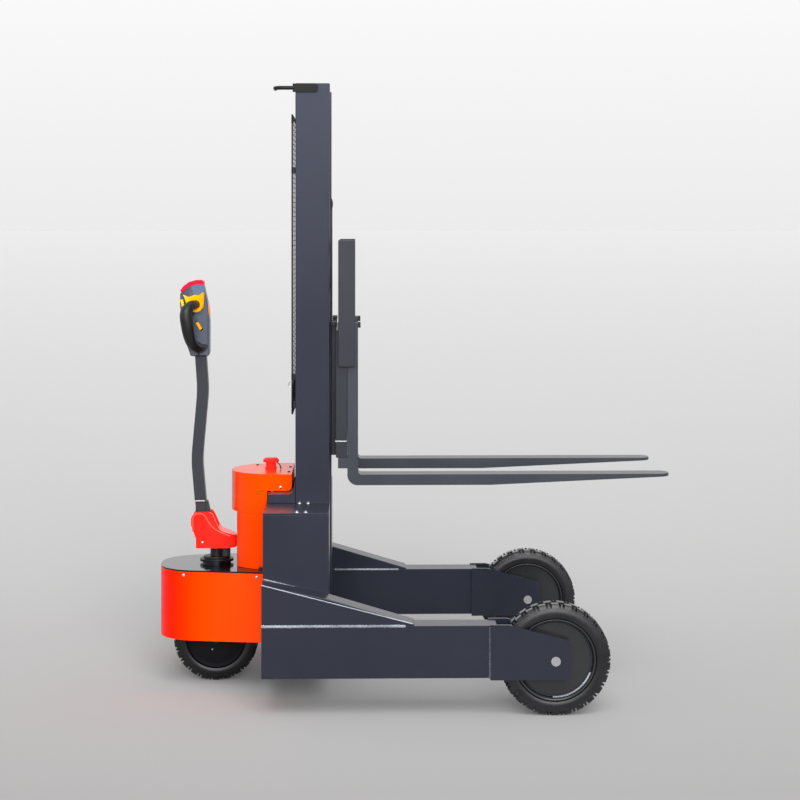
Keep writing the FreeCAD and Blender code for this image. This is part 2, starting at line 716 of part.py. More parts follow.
def wheel_disc(name, side):
    half_hub = size.leg_width / 2 - size.hub_play
    half_rim = size.wheel_width / 2 - size.rim_inset
    half_web = size.disc_web / 2
    bore = size.axle_radius + size.bearing_gap
    corners = [
        (bore, -half_hub),
        (size.hub_radius, -half_hub),
        (size.hub_radius, -half_web),
        (size.rim_radius - size.rim_lip, -half_web),
        (size.rim_radius - size.rim_lip, -half_rim),
        (size.rim_radius, -half_rim),
        (size.rim_radius, half_rim),
        (size.rim_radius - size.rim_lip, half_rim),
        (size.rim_radius - size.rim_lip, half_web),
        (size.hub_radius, half_web),
        (size.hub_radius, half_hub),
        (bore, half_hub),
    ]
    middle = side * (leg_inner + size.leg_width / 2)
    node(name, turned(name, corners, "y", (size.wheel_x, middle, size.wheel_radius)))


def tyre(name, rim, tread_radius, width, centre):
    """A solid tyre with two staggered rows of lugs that run over its shoulders."""
    half = width / 2
    floor = tread_radius - size.lug_depth
    chamfer = size.tyre_shoulder
    corners = [
        (rim, -half + size.tyre_bead),
        (rim + size.tyre_bead, -half),
        (floor - chamfer, -half),
        (floor, -half + chamfer),
        (floor, half - chamfer),
        (floor - chamfer, half),
        (rim + size.tyre_bead, half),
        (rim, half - size.tyre_bead),
    ]
    body = turned(name, corners, "y", centre)
    count = round(2 * math.pi * tread_radius.value / size.lug_pitch.value)
    sector = size.lug_length / tread_radius * math.degrees(1)
    side = half - LUG_SINK
    for row, hand in enumerate((LEFT, RIGHT)):
        lug = [
            (floor - LUG_SINK, hand * size.lug_gap / 2),
            (tread_radius, hand * size.lug_gap / 2),
            (tread_radius, hand * (side - chamfer)),
            (tread_radius - chamfer, hand * side),
            (floor - chamfer - LUG_SINK, hand * side),
        ]
        ring_of_blocks(body, "%s_row_%d" % (name, row), lug, sector, row * 180 / count, count)
    node(name, body)


def make_wheels():
    for word, side in SIDES:
        wheel_disc("wheel_disc_" + word, side)
        middle = side * (leg_inner + size.leg_width / 2)
        tyre("tyre_" + word, size.rim_radius, size.wheel_radius, size.wheel_width,
             (size.wheel_x, middle, size.wheel_radius))


# Mast: two channels, cross beams, the bar round its top and the mesh guard

def mast_channel(name, side):
    web = side * size.mast_half_width
    inner_web = side * web_inner
    tip = side * flange_tip
    inner_front = size.base_front - size.channel_flange
    inner_back = mast_back + size.channel_flange
    corners = [
        (mast_back, web),
        (size.base_front, web),
        (size.base_front, tip),
        (inner_front, tip),
        (inner_front, inner_web),
        (inner_back, inner_web),
        (inner_back, tip),
        (mast_back, tip),
    ]
    node(name, prism(name, "xy", corners, channel_foot, size.mast_top))


def make_mast():
    for word, side in SIDES:
        mast_channel("mast_channel_" + word, side)
    beams = []
    beam_tops = [size.mast_top, size.barrel_top + size.beam_over_barrel, size.hood_top + size.beam_height]
    for index, top in enumerate(beam_tops):
        beams.append(box("beam_%d" % index, (mast_back, mast_back + size.channel_flange),
                         (-flange_tip, flange_tip), (top - size.beam_height, top)))
    node("mast_beams", group("mast_beams", *beams))
    make_hook_bar()
    make_mesh_guard()


def make_hook_bar():
    """A flat lug with a round end on the right channel, and a bent bar that runs back from it."""
    middle = size.mast_top - size.hook_drop
    radius = size.hook_lug_height / 2
    lug_back = mast_back - size.hook_lug
    lug_front = mast_back + size.hook_lug_reach
    low, high = span(RIGHT, size.mast_half_width, size.mast_half_width + size.hook_lug)
    flat_part = box("hook_lug_flat", (lug_back, lug_front - radius), (low, high),
                    (middle - radius, middle + radius))
    round_end = rod("hook_lug_end", "y", radius, (lug_front - radius, low, middle), high - low)
    line = RIGHT * (size.mast_half_width + size.hook_lug / 2)
    back = mast_back - size.hook_reach + size.hook_radius
    corners = [
        (mast_back - size.hook_lug / 2, line),
        (back, line, size.hook_bend),
        (back, line + size.hook_turn),
    ]
    bar = bent_bar("hook_bar", corners, size.hook_radius)
    place(bar, 0, 0, middle)
    node("top_guard_bar", fuse("top_guard_bar", flat_part, round_end, bar))


def make_mesh_guard():
    """A frame with welded wires, a plate below it, and blocks that hold it off the mast."""
    front = mast_back - size.guard_gap
    back = front - size.mesh_wire
    middle = back + size.mesh_wire / 2
    half = size.mesh_half_width
    low = size.mesh_low - size.guard_plate_height
    outer = box("mesh_outer", (back, front), (-half, half), (low, size.mesh_high))
    opening = box("mesh_opening", (back - 1, front + 1), (-half + size.mesh_frame, half - size.mesh_frame),
                  (size.mesh_low, size.mesh_high - size.mesh_frame))
    parts = [cut("mesh_rim", outer, opening)]
    wire = size.mesh_wire / 2
    columns = int((2 * half.value) // size.mesh_pitch.value)
    rows = int((size.mesh_high.value - size.mesh_low.value) // size.mesh_pitch.value)
    for column in range(1, columns):
        y = column * size.mesh_pitch - half
        parts.append(box("mesh_upright_%d" % column, (back, middle), (y - wire / 2, y + wire / 2),
                         (size.mesh_low, size.mesh_high - size.mesh_frame)))
    for row in range(1, rows):
        z = row * size.mesh_pitch + size.mesh_low
        parts.append(box("mesh_cross_%d" % row, (middle, front),
                         (-half + size.mesh_frame, half - size.mesh_frame), (z - wire / 2, z + wire / 2)))
    for index, z in enumerate((low + size.standoff_low, size.mesh_high - size.standoff_high)):
        for word, side in SIDES:
            parts.append(box("standoff_%s_%d" % (word, index), (front, mast_back),
                             span(side, half - size.standoff, half), (z, z + size.standoff)))
    node("mesh_guard", fuse("mesh_guard", *parts))


# Lift: barrel, piston rod, crosshead, pulleys and chains

def make_lift():
    bore_low = channel_foot + size.barrel_floor
    gland_low = size.barrel_top - size.gland_height
    rod_hole = size.rod_radius + size.bearing_gap
    barrel = [
        (size.barrel_bore, bore_low),
        (size.barrel_bore, gland_low),
        (rod_hole, gland_low),
        (rod_hole, size.barrel_top),
        (size.barrel_radius, size.barrel_top),
        (size.barrel_radius, channel_foot),
        (0, channel_foot),
        (0, bore_low),
    ]
    body = turned("lift_barrel", barrel, "z", (lift_x, 0, 0))
    beam_face = mast_back + size.channel_flange
    level = (gland_low - size.anchor_plate, gland_low)
    ears = []
    for word, side in SIDES:
        ears.append(box("chain_ear_" + word, (beam_face, lift_x - size.pulley_pitch + size.chain_thickness),
                        span(side, size.chain_offset - size.chain_width,
                             size.chain_offset + size.chain_width), level))
    yoke = box("barrel_yoke", (beam_face, lift_x), (-size.chain_offset, size.chain_offset), level)
    core = rod("barrel_core", "z", size.barrel_bore + 1, (lift_x, 0, bore_low), size.barrel_top)
    collar = cut("barrel_collar", fuse("collar_block", yoke, *ears), core)
    node("lift_cylinder", fuse("lift_cylinder", body, collar))
    make_crosshead()
    make_chains()


def make_crosshead():
    """The piston rod with its head, and the pin that carries both pulleys."""
    half = size.chain_offset - size.chain_width / 2 - size.pulley_flange - size.pulley_play
    stem_low = size.crosshead_z - size.rod_length
    stem = rod("rod_stem", "z", size.rod_radius, (lift_x, 0, stem_low), size.rod_length - size.crosshead_half)
    head = box("rod_head", (lift_x - size.crosshead_half, lift_x + size.crosshead_half), (-half, half),
               (size.crosshead_z - size.crosshead_drop, size.crosshead_z + size.crosshead_half))
    reach = size.chain_offset + size.chain_width / 2 + size.pulley_pin_end
    pin = rod("pulley_pin", "y", size.pulley_pin, (lift_x, -reach, size.crosshead_z), reach * 2)
    node("piston_crosshead", fuse("piston_crosshead", stem, head, pin))
    groove = size.pulley_pitch - size.chain_thickness / 2 - SHAFT_GAP
    rim = size.pulley_pitch + size.chain_thickness / 2 + 1
    bore = size.pulley_pin + SHAFT_GAP
    groove_half = size.chain_width / 2 + SHAFT_GAP
    flange_half = size.chain_width / 2 + size.pulley_flange
    pulleys = []
    for word, side in SIDES:
        corners = [
            (bore, -flange_half),
            (rim, -flange_half),
            (rim, -groove_half - 1),
            (groove, -groove_half),
            (groove, groove_half),
            (rim, groove_half + 1),
            (rim, flange_half),
            (bore, flange_half),
        ]
        pulleys.append(turned("pulley_" + word, corners, "y",
                              (lift_x, side * size.chain_offset, size.crosshead_z)))
    node("chain_pulleys", group("chain_pulleys", *pulleys))


def make_chains():
    """Each chain: a strand to the carriage, a strand to the barrel, and the turn over its pulley."""
    half = size.chain_thickness / 2
    fronts = []
    backs = []
    turns = []
    anchor = size.barrel_top - size.gland_height
    hook = size.post_low
    for word, side in SIDES:
        across = span(side, size.chain_offset - size.chain_width / 2,
                      size.chain_offset + size.chain_width / 2)
        fronts.append(box("front_strand_" + word, (size.chain_x - half, size.chain_x + half), across,
                          (hook, size.crosshead_z)))
        rear_x = lift_x - size.pulley_pitch
        backs.append(box("back_strand_" + word, (rear_x - half, rear_x + half), across,
                         (anchor, size.crosshead_z)))
        ring = rod("turn_ring_" + word, "y", size.pulley_pitch + half, (lift_x, across[0], size.crosshead_z),
                   size.chain_width)
        hole = rod("turn_hole_" + word, "y", size.pulley_pitch - half, (lift_x, across[0], size.crosshead_z),
                   size.chain_width)
        reach = size.pulley_pitch * 2
        lower = box("turn_low_" + word, (lift_x - reach, lift_x + reach), across,
                    (size.crosshead_z - reach, size.crosshead_z))
        turns.append(cut("turn_" + word, ring, hole, lower))
    node("chain_front", group("chain_front", *fronts))
    node("chain_back", group("chain_back", *backs))
    node("chain_turns", group("chain_turns", *turns))


# Carriage: bars, end plates, uprights with rollers, posts and forks

def make_carriage():
    bar_half = fork_outer + size.fork_gap
    inner_face = size.side_plate_y - size.side_plate
    bar_face = (bar_back, size.bar_front)
    lower_top = size.carriage_low + size.bar_height
    upper_low = size.carriage_top - size.upper_bar_height
    lug_level = (size.post_low - size.chain_lug_height, size.post_low)
    parts = [
        box("upper_bar", bar_face, (-bar_half, bar_half), (upper_low, size.carriage_top)),
        box("lower_bar", bar_face, (-bar_half, bar_half), (size.carriage_low, lower_top)),
        box("chain_bar", (upright_back, size.bar_front - size.side_plate), (-inner_face, inner_face),
            lug_level),
    ]
    for word, side in SIDES:
        parts.append(box("upright_" + word, (upright_back, bar_back),
                         span(side, inner_face, inner_face + size.upright_width),
                         (size.carriage_low, size.carriage_top + size.upright_rise)))
        parts.append(box("roller_plate_" + word, (mast_back + size.roller_plate_back, upright_back),
                         span(side, inner_face, size.side_plate_y),
                         (size.carriage_low + size.roller_plate_rise, size.carriage_top)))
        parts.append(box("end_plate_" + word, bar_face, span(side, bar_half - size.side_plate, bar_half),
                         (lower_top, upper_low)))
        parts.append(box("chain_lug_" + word, (size.chain_x - size.chain_thickness / 2 - 2, bar_back),
                         span(side, size.chain_offset - size.chain_lug_half,
                              size.chain_offset + size.chain_lug_half), lug_level))
    node("carriage_frame", fuse("carriage_frame", *parts))
    make_rollers()
    make_posts()
    for word, side in SIDES:
        make_fork("fork_" + word, side)


def make_rollers():
    rollers = []
    levels = (size.carriage_low + size.low_roller_rise, size.carriage_top - size.high_roller_drop)
    inner = flange_tip + size.roller_play
    for word, side in SIDES:
        for index, z in enumerate(levels):
            low, high = span(side, inner, inner + size.roller_width)
            wheel = rod("roller_%s_%d" % (word, index), "y", size.roller_radius, (roller_x, low, z),
                        high - low)
            low, high = span(side, size.side_plate_y, inner)
            stub = rod("roller_stub_%s_%d" % (word, index), "y", size.roller_stub, (roller_x, low, z),
                       high - low)
            rollers.append(fuse("roller_set_%s_%d" % (word, index), wheel, stub))
    node("carriage_rollers", group("carriage_rollers", *rollers))


def make_posts():
    """Two upright posts beside the fork shanks, joined by flat bars."""
    inner = fork_outer + size.fork_gap
    front = fork_back + size.post_lead
    back = front - size.post_depth
    parts = []
    for word, side in SIDES:
        parts.append(box("post_" + word, (back, front), span(side, inner, inner + size.post_width),
                         (size.post_low, size.post_top)))
    bar_face = (back + size.post_bar_inset, back + size.post_bar_inset + size.post_bar)
    for index, drop in enumerate((size.post_bar_inset, size.post_bar_spread)):
        top = size.post_top - drop
        parts.append(box("post_bar_%d" % index, bar_face, (-inner, inner), (top - size.post_bar_height, top)))
    node("load_backrest", fuse("load_backrest", *parts))


def make_fork(name, side):
    """An L-shaped fork: upright shank with hooks, tapered blade with a rounded tip."""
    low = size.fork_top - size.fork_thickness
    corners = [
        (fork_back, low, size.fork_heel),
        (size.fork_taper, low, size.fork_taper_round),
        (size.fork_tip, size.fork_top - size.fork_tip_thickness),
        (size.fork_tip, size.fork_top),
        (fork_front, size.fork_top, size.fork_root),
        (fork_front, size.fork_shank_top),
        (fork_back, size.fork_shank_top),
    ]
    near, far = span(side, size.fork_spread - size.fork_width / 2, fork_outer)
    blade = prism(name + "_blade", "xz", corners, near, far)
    plan = [
        (fork_back - 1, near),
        (size.fork_tip, near, size.fork_tip_round),
        (size.fork_tip, far, size.fork_tip_round),
        (fork_back - 1, far),
    ]
    rounded = common(name + "_rounded", blade,
                     prism(name + "_plan", "xy", plan, low - 1, size.fork_shank_top + 1))
    middle = side * size.fork_spread
    lock = box(name + "_lock", (fork_front - size.fork_lock_height, fork_front + size.fork_lock_reach),
               (middle - size.fork_lock / 2, middle + size.fork_lock / 2),
               (size.fork_shank_top - size.fork_lock_height, size.fork_shank_top + 1))
    hook_face = (bar_back + size.hook_setback, fork_back)
    top_hook = box(name + "_top_hook", hook_face, (near, far),
                   (size.carriage_top + SHAFT_GAP, size.fork_shank_top))
    low_hook = box(name + "_low_hook", hook_face, (near, far),
                   (size.carriage_low - size.hook_height, size.carriage_low - SHAFT_GAP))
    node(name, fuse(name, rounded, lock, top_hook, low_hook))


# Drive end: cover skirt, deck and hoods

def cover_outline(inset):
    """Plan of the drive cover: a round nose whose sides open out to the base."""
    radius = size.cover_nose_radius - inset
    front = size.cover_front + inset
    side = size.cover_side - inset
    return [
        (size.base_back, -side),
        (size.base_back, side),
        (front, size.cover_nose_half - inset, radius),
        (front, -size.cover_nose_half + inset, radius),
    ]


def make_drive_cover():
    skirt = prism("skirt_outer", "xy", cover_outline(0), size.cover_low, deck_low)
    room = prism("skirt_room", "xy", cover_outline(size.cover_wall), size.cover_low - 1, deck_low + 1)
    node("drive_cover", cut("drive_cover", skirt, room))
    deck = prism("deck_sheet", "xy", cover_outline(SHAFT_GAP), deck_low, size.deck_top)
    flange_low = size.deck_top + size.bearing_height
    bearing = rod("deck_bearing", "z", size.bearing_radius, (size.steer_x, 0, size.deck_top),
                  size.bearing_height)
    flange = rod("deck_flange", "z", size.flange_radius, (size.steer_x, 0, flange_low), size.flange_thickness)
    hole = rod("deck_hole", "z", size.column_radius + SHAFT_GAP, (size.steer_x, 0, deck_low - 1),
               flange_low + size.flange_thickness - deck_low + 2)
    node("drive_deck", cut("drive_deck", fuse("deck_solid", deck, bearing, flange), hole))


def hood_outline(nose, end, inset):
    """Plan of a hood: straight sides closed by a half-round nose."""
    half = size.hood_half_width - inset
    return [
        (end, -half),
        (end, half),
        (nose + inset, half, half - 1),
        (nose + inset, -half, half - 1),
    ]


def make_hood():
    make_lower_hood()
    make_upper_hood()
    low_nose = size.hood_nose + size.hood_step
    node("power_pack", box("power_pack", (low_nose + size.pack_gap, size.base_back - size.hood_wall),
                           (-size.hood_half_width / 2, size.hood_half_width / 2),
                           (size.deck_top, size.hood_top - size.pack_gap)))
    make_emergency_button()


def make_lower_hood():
    """Flush with the upper hood at its sides, flat where it faces the tiller."""
    low_nose = size.hood_nose + size.hood_step
    wall = size.hood_wall
    across = (-size.hood_half_width - 1, size.hood_half_width + 1)
    high = size.hood_split + 1
    outer = prism("low_hood_outer", "xy", hood_outline(size.hood_nose, size.hood_end, 0), size.deck_top,
                  size.hood_split)
    room = prism("low_hood_room", "xy", hood_outline(size.hood_nose, size.hood_end, wall),
                 size.deck_top - 1, high)
    room_end = box("low_hood_end", (size.hood_nose, low_nose + wall), across, (size.deck_top - 1, high))
    nose = box("low_hood_nose", (size.hood_nose - 1, low_nose), across, (size.deck_top - 1, high))
    beyond = box("beyond_base", (size.base_back, size.hood_end + 1), across, (size.deck_top - 1, high))
    node("hood_lower", cut("hood_lower", outer, cut("low_hood_space", room, room_end), nose, beyond))


def make_upper_hood():
    """Overhangs the base, with a rounded corner where its end meets its underside."""
    wall = size.hood_wall
    side = size.hood_half_width + 1
    outer = prism("top_hood_outer", "xy", hood_outline(size.hood_nose, size.hood_end, 0), size.hood_split,
                  size.hood_top)
    room = prism("top_hood_room", "xy", hood_outline(size.hood_nose, size.hood_end - wall, wall),
                 size.hood_split - 1, size.hood_top - wall)
    corners = [
        (size.base_back, size.deck_top),
        (size.hood_end + 1, size.deck_top),
        (size.hood_end + 1, size.hood_foot + size.hood_corner * 2),
        (size.hood_end, size.hood_foot + size.hood_corner * 2),
        (size.hood_end, size.hood_foot, size.hood_corner),
        (size.base_back, size.hood_foot),
    ]
    step = prism("hood_step_room", "xz", corners, -side, side)
    node("hood_upper", cut("hood_upper", outer, room, step))


def make_emergency_button():
    """A mushroom head on a neck, with a collar where it meets the hood."""
    top = size.hood_top + size.button_height
    head_low = top - size.button_head
    corners = [
        (0, size.hood_top),
        (size.button_collar, size.hood_top),
        (size.button_collar, size.hood_top + size.button_edge),
        (size.button_neck, size.hood_top + size.button_edge),
        (size.button_neck, head_low),
        (size.button_radius, head_low),
        (size.button_radius, top - size.button_edge),
        (size.button_radius - size.button_edge, top),
        (0, top),
    ]
    node("emergency_button", turned("emergency_button", corners, "z", (size.button_x, 0, 0)))


# Steered assembly: turntable with gearbox and column, motor, clevis and the cover round it

TURNTABLE = 18


def make_steering():
    column_top = size.deck_top + size.column_height
    table_low = deck_low - TURNTABLE - SHAFT_GAP
    gearbox_in = size.drive_width / 2 + size.gearbox_gap
    table = rod("turntable", "z", size.turntable_radius, (size.steer_x, 0, table_low), TURNTABLE)
    column = rod("column", "z", size.column_radius, (size.steer_x, 0, table_low), column_top - table_low)
    gearbox = box("gearbox", (size.steer_x - size.gearbox_half, size.steer_x + size.gearbox_half),
                  (gearbox_in, gearbox_in + size.gearbox_width),
                  (size.drive_radius - size.gearbox_half, table_low + 1))
    shaft_start = size.gearbox_gap - size.drive_width / 2
    shaft = rod("drive_shaft", "y", size.drive_axle, (size.steer_x, shaft_start, size.drive_radius),
                gearbox_in + 1 - shaft_start)
    node("drive_yoke", fuse("drive_yoke", table, column, gearbox, shaft))
    node("drive_motor", rod("drive_motor", "y", size.motor_radius,
                            (size.steer_x, gearbox_in + size.gearbox_width,
                             size.drive_radius + size.motor_rise),
                            size.motor_length))
    make_clevis(column_top)
    make_cowl(column_top)


def make_clevis(low):
    """The ears that hold the tiller pivot, on a foot with a round housing under its front."""
    ear_in = size.pivot_lug_half + SHAFT_GAP
    ear_out = ear_in + size.clevis_ear
    foot_top = low + size.clevis_foot
    foot = box("clevis_foot", (size.steer_x - size.foot_back, size.steer_x + size.foot_front),
               (-ear_out, ear_out), (low, foot_top))
    housing_low = size.deck_top + size.bearing_height + size.flange_thickness + size.housing_gap
    housing = rod("damper_housing", "z", size.damper_radius,
                  (size.steer_x + size.damper_offset, 0, housing_low), low + 1 - housing_low)
    around = rod("column_room", "z", size.column_radius + SHAFT_GAP, (size.steer_x, 0, housing_low - 1),
                 low + 1 - housing_low)
    parts = [foot, cut("damper", housing, around)]
    ear_half = size.clevis_half
    ear_corners = [
        (size.pivot_x - ear_half, foot_top),
        (size.pivot_x + ear_half, foot_top),
        (size.pivot_x + ear_half, size.pivot_z + ear_half, ear_half - 1),
        (size.pivot_x - ear_half, size.pivot_z + ear_half, ear_half - 1),
    ]
    for word, side in SIDES:
        parts.append(prism("clevis_ear_" + word, "xz", ear_corners, *span(side, ear_in, ear_out)))
    parts.append(rod("pivot_pin", "y", size.pivot_radius, (size.pivot_x, -ear_out, size.pivot_z),
                     ear_out * 2))
    node("tiller_base", fuse("tiller_base", *parts))


def make_cowl(low):
    """The domed cover round the clevis, with a slot for the arm."""
    half = size.cover_half_width
    # across, up and the radius of the corner, from the foot's back end round to the heel
    corners = [
        (size.cowl_heel_x, low, 4),
        (size.cowl_front, low, 4),
        (size.cowl_front, low + size.cowl_nose_height, 10),
        (size.cowl_waist_x, low + size.cowl_waist_height, 36),
        (size.cowl_dome_x, size.cowl_top, 24),
        (size.cowl_back, size.cowl_top, 30),
        (size.cowl_back, low + size.cowl_belly_height, 20),
        (size.cowl_heel_x, low + size.cowl_heel_height, 15),
    ]
    shell = prism("cowl_shell", "xz", corners, -half, half)
    beyond = size.cowl_back - half
    above = size.cowl_top + half
    plan = [
        (beyond, -half),
        (size.cowl_front, -half, half - 1),
        (size.cowl_front, half, half - 1),
        (beyond, half),
    ]
    rounded = common("cowl_rounded", shell, prism("cowl_plan", "xy", plan, low - 1, above))
    slot_half = size.arm_half_width + size.arm_slot_gap
    slot = box("cowl_slot", (beyond, size.pivot_x + size.pivot_lug * 2), (-slot_half, slot_half),
               (low + size.clevis_foot + 2, above))
    ear_out = size.pivot_lug_half + size.clevis_ear + SHAFT_GAP * 2
    foot_room = box("cowl_foot_room",
                    (size.steer_x - size.foot_back - SHAFT_GAP, size.steer_x + size.foot_front + SHAFT_GAP),
                    (-ear_out, ear_out), (low - 1, low + size.clevis_foot + 3))
    node("tiller_cover", cut("tiller_cover", rounded, slot, foot_room))


# Drive wheel

def make_drive_wheel():
    half = size.drive_width / 2
    bore = size.drive_axle + size.bearing_gap
    boss_face = half - size.tyre_bead
    web_face = half - size.drive_dish
    rim_face = half - size.tyre_bead - 2
    corners = [
        (bore, -boss_face),
        (size.drive_boss, -boss_face),
        (size.drive_rim - size.rim_lip, -web_face),
        (size.drive_rim, -rim_face),
        (size.drive_rim, rim_face),
        (size.drive_rim - size.rim_lip, web_face),
        (bore, web_face),
    ]
    centre = (size.steer_x, 0, size.drive_radius)
    node("drive_hub", turned("drive_hub", corners, "y", centre))
    tyre("drive_tyre", size.drive_rim, size.drive_radius, size.drive_width, centre)


# Tiller: arm, head, hand loops and throttle

LOOP_LEAN = 0.46


def make_tiller():
    make_arm()
    head = make_head()
    loops = [make_loop("loop_" + word, side) for word, side in SIDES]
    grips = [cut("grip_%d" % index, loop, head) for index, loop in enumerate(loops)]
    node("tiller_grips", group("tiller_grips", *grips))
    plates = [thumb_plate(side, loop) for (word, side), loop in zip(SIDES, loops)]
    node("throttle", group("throttle", *plates))


def make_arm():
    """A bowed bar on a collar and a round lug about the pivot."""
    half = size.arm_depth / 2
    # across, up and bend of the arm's middle line
    spine = [
        (size.spine_foot_x, size.spine_foot_z, 0),
        (size.spine_bow_x, size.spine_bow_z, size.spine_bend),
        (size.spine_neck_x, size.spine_neck_z, size.spine_bend),
        (size.spine_top_x, size.arm_top, 0),
    ]
    back = []
    front = []
    for x, z, bend in spine:
        back.append((x - half, z, bend + half) if bend else (x - half, z))
        front.append((x + half, z, bend - half) if bend else (x + half, z))
    bar = prism("arm_bar", "xz", back + front[::-1], -size.arm_half_width, size.arm_half_width)
    lug = size.pivot_lug
    lug_corners = [
        (size.pivot_x - lug, size.pivot_z - lug, lug - size.collar_step),
        (size.pivot_x + lug, size.pivot_z - lug, lug - size.collar_step),
        (size.pivot_x + lug, size.spine_foot_z),
        (size.spine_foot_x - half, size.spine_foot_z),
    ]
    root = prism("arm_lug", "xz", lug_corners, -size.pivot_lug_half, size.pivot_lug_half)
    collar_half = size.arm_half_width - size.collar_step
    collar_reach = half - size.collar_step
    collar = box("arm_collar", (size.spine_foot_x - collar_reach, size.spine_foot_x + collar_reach),
                 (-collar_half, collar_half), (size.spine_foot_z - size.collar_height, size.spine_foot_z + 1))
    hole = rod("arm_hole", "y", size.pivot_radius + size.bearing_gap,
               (size.pivot_x, -size.pivot_lug_half - 1, size.pivot_z), size.pivot_lug_half * 2 + 2)
    node("tiller_arm", cut("tiller_arm", fuse("arm_solid", bar, root, collar), hole))


def make_head():
    """The control head with the bow-shaped reversing button over its point."""
    corners = [
        (size.head_foot_back, size.arm_top, 8),
        (size.head_front, size.arm_top, 8),
        (size.head_front, size.head_front_z, 60),
        (size.head_top_front, size.head_top, 8),
        (size.head_top_back, size.head_top, 20),
        (size.head_point_x, size.head_point_z, 3),
        (size.head_edge_x, size.head_edge_z, 30),
        (size.head_waist_x, size.head_waist_z, 60),
    ]
    shell = prism("head_shell", "xz", corners, -size.head_half_width, size.head_half_width)
    bow_corners = [
        (size.head_point_x + 1, size.head_point_z),
        (size.head_point_x + 1, size.head_point_z + 12, 6),
        (size.head_top_back, size.bow_top, 30),
        (size.head_top_front + 1, size.bow_top, 12),
        (size.head_top_front, size.head_top - 4),
    ]
    bow = prism("bow_button", "xz", bow_corners, -size.bow_half_width, size.bow_half_width)
    return node("tiller_head", fuse("tiller_head", shell, bow))


def thumb_plate(side, loop):
    """A throttle plate with two ears, which turns about the root of a hand loop."""
    # across and up from the root and radius, all in shares of the plate's reach
    outline_shares = [
        (-0.94, 0.80, 0.06),
        (-0.50, 0.60, 0.16),
        (0.00, 0.82, 0.36),
        (0.34, 0.70, 0.16),
        (0.64, 1.00, 0.06),
        (0.72, 0.00, 0.50),
        (0.32, -0.60, 0.50),
        (-0.40, -0.52, 0.36),
    ]
    reach = size.thumb_reach
    corners = []
    for across, up, radius in outline_shares:
        corners.append((size.grip_top_x + across * reach, size.grip_top_z + up * reach, radius * reach))
    low, high = span(side, size.head_half_width, size.head_half_width + size.thumb_thickness)
    name = "thumb_plate_%s" % ("left" if side == LEFT else "right")
    return cut(name, prism(name + "_solid", "xz", corners, low, high), loop)


def make_loop(name, side):
    """A D-shaped hand loop that leans out and back from the side of the head."""
    top = FreeCAD.Vector(size.grip_top_x.value, 0, size.grip_top_z.value)
    foot = FreeCAD.Vector(size.grip_foot_x.value, 0, size.grip_foot_z.value)
    half = (top - foot).Length / 2
    up = (top - foot).normalize()
    out = FreeCAD.Vector(-LOOP_LEAN, side, 0)
    out = (out - up * out.dot(up)).normalize()
    corners = [
        (0, half),
        (size.grip_reach, half, size.grip_bend),
        (size.grip_reach, -half, size.grip_bend),
        (0, -half),
    ]
    body = bent_bar(name, corners, size.grip_radius)
    inside = size.head_half_width.value - size.grip_radius.value
    middle = (top + foot) * 0.5 + FreeCAD.Vector(0, side * inside, 0)
    body.Placement = FreeCAD.Placement(middle, FreeCAD.Rotation(out, up, out.cross(up), "XYZ"))
    return body


# Build, test and write

def check_document():
    doc.recompute()
    for item in doc.Objects:
        if "Invalid" in item.State or "Error" in item.State:
            raise RuntimeError("failed object: %s" % item.Label)
    for item in NODES:
        if item.Shape.isNull() or not item.Shape.isValid():
            raise RuntimeError("bad shape: %s" % item.Label)
        if not item.Shape.Solids:
            raise RuntimeError("no solid: %s" % item.Label)


def write_parts():
    os.makedirs("parts", exist_ok=True)
    for item in NODES:
        item.Shape.exportStep("parts/%s.step" % item.Label)


make_base()
make_legs()
make_wheels()
make_mast()
make_lift()
make_carriage()
make_drive_cover()
make_hood()
make_steering()
make_drive_wheel()
make_tiller()
check_document()
write_parts()
print("nodes:", len(NODES))
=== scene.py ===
import json
import math

import bpy
from mathutils import Matrix, Vector
from mathutils.bvhtree import BVHTree


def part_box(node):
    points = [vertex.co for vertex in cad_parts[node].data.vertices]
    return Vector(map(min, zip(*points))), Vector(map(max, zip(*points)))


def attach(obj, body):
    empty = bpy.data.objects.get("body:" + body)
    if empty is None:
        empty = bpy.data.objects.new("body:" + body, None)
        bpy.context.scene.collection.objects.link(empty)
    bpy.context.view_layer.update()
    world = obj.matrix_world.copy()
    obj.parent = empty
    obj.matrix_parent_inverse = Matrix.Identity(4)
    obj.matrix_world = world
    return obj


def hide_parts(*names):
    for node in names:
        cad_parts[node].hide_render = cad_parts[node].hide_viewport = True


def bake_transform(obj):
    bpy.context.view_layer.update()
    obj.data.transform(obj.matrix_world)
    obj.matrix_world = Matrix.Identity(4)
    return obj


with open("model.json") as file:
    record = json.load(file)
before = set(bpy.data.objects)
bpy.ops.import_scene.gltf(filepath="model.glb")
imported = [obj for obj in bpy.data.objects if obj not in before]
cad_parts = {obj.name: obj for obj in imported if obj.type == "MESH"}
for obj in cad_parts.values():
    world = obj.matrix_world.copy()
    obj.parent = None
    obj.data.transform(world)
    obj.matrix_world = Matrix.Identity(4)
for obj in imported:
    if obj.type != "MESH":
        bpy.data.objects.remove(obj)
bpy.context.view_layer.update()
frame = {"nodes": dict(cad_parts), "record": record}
NODES = frame["nodes"]
BODY_OF = {
    node: body
    for body, members in frame["record"]["behaviour"]["bodies"].items()
    for node in members
}
SLOT_OF = {entry["node"]: entry["material_slot"] for entry in frame["record"]["subparts"]}

# Everything is in metres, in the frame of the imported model.
MM = 0.001
LEFT, RIGHT = 1, -1
SIDES = ((LEFT, "left"), (RIGHT, "right"))
TURN = 2 * math.pi


# Camera, where the photograph was taken from

PICTURE = 800
HORIZON_ROW = 225
LENS_PIXELS = 1962
SENSOR = 36
CAMERA_PLACE = (-0.208, -7.632, 1.758)
CAMERA_YAW = math.atan(43 / LENS_PIXELS)
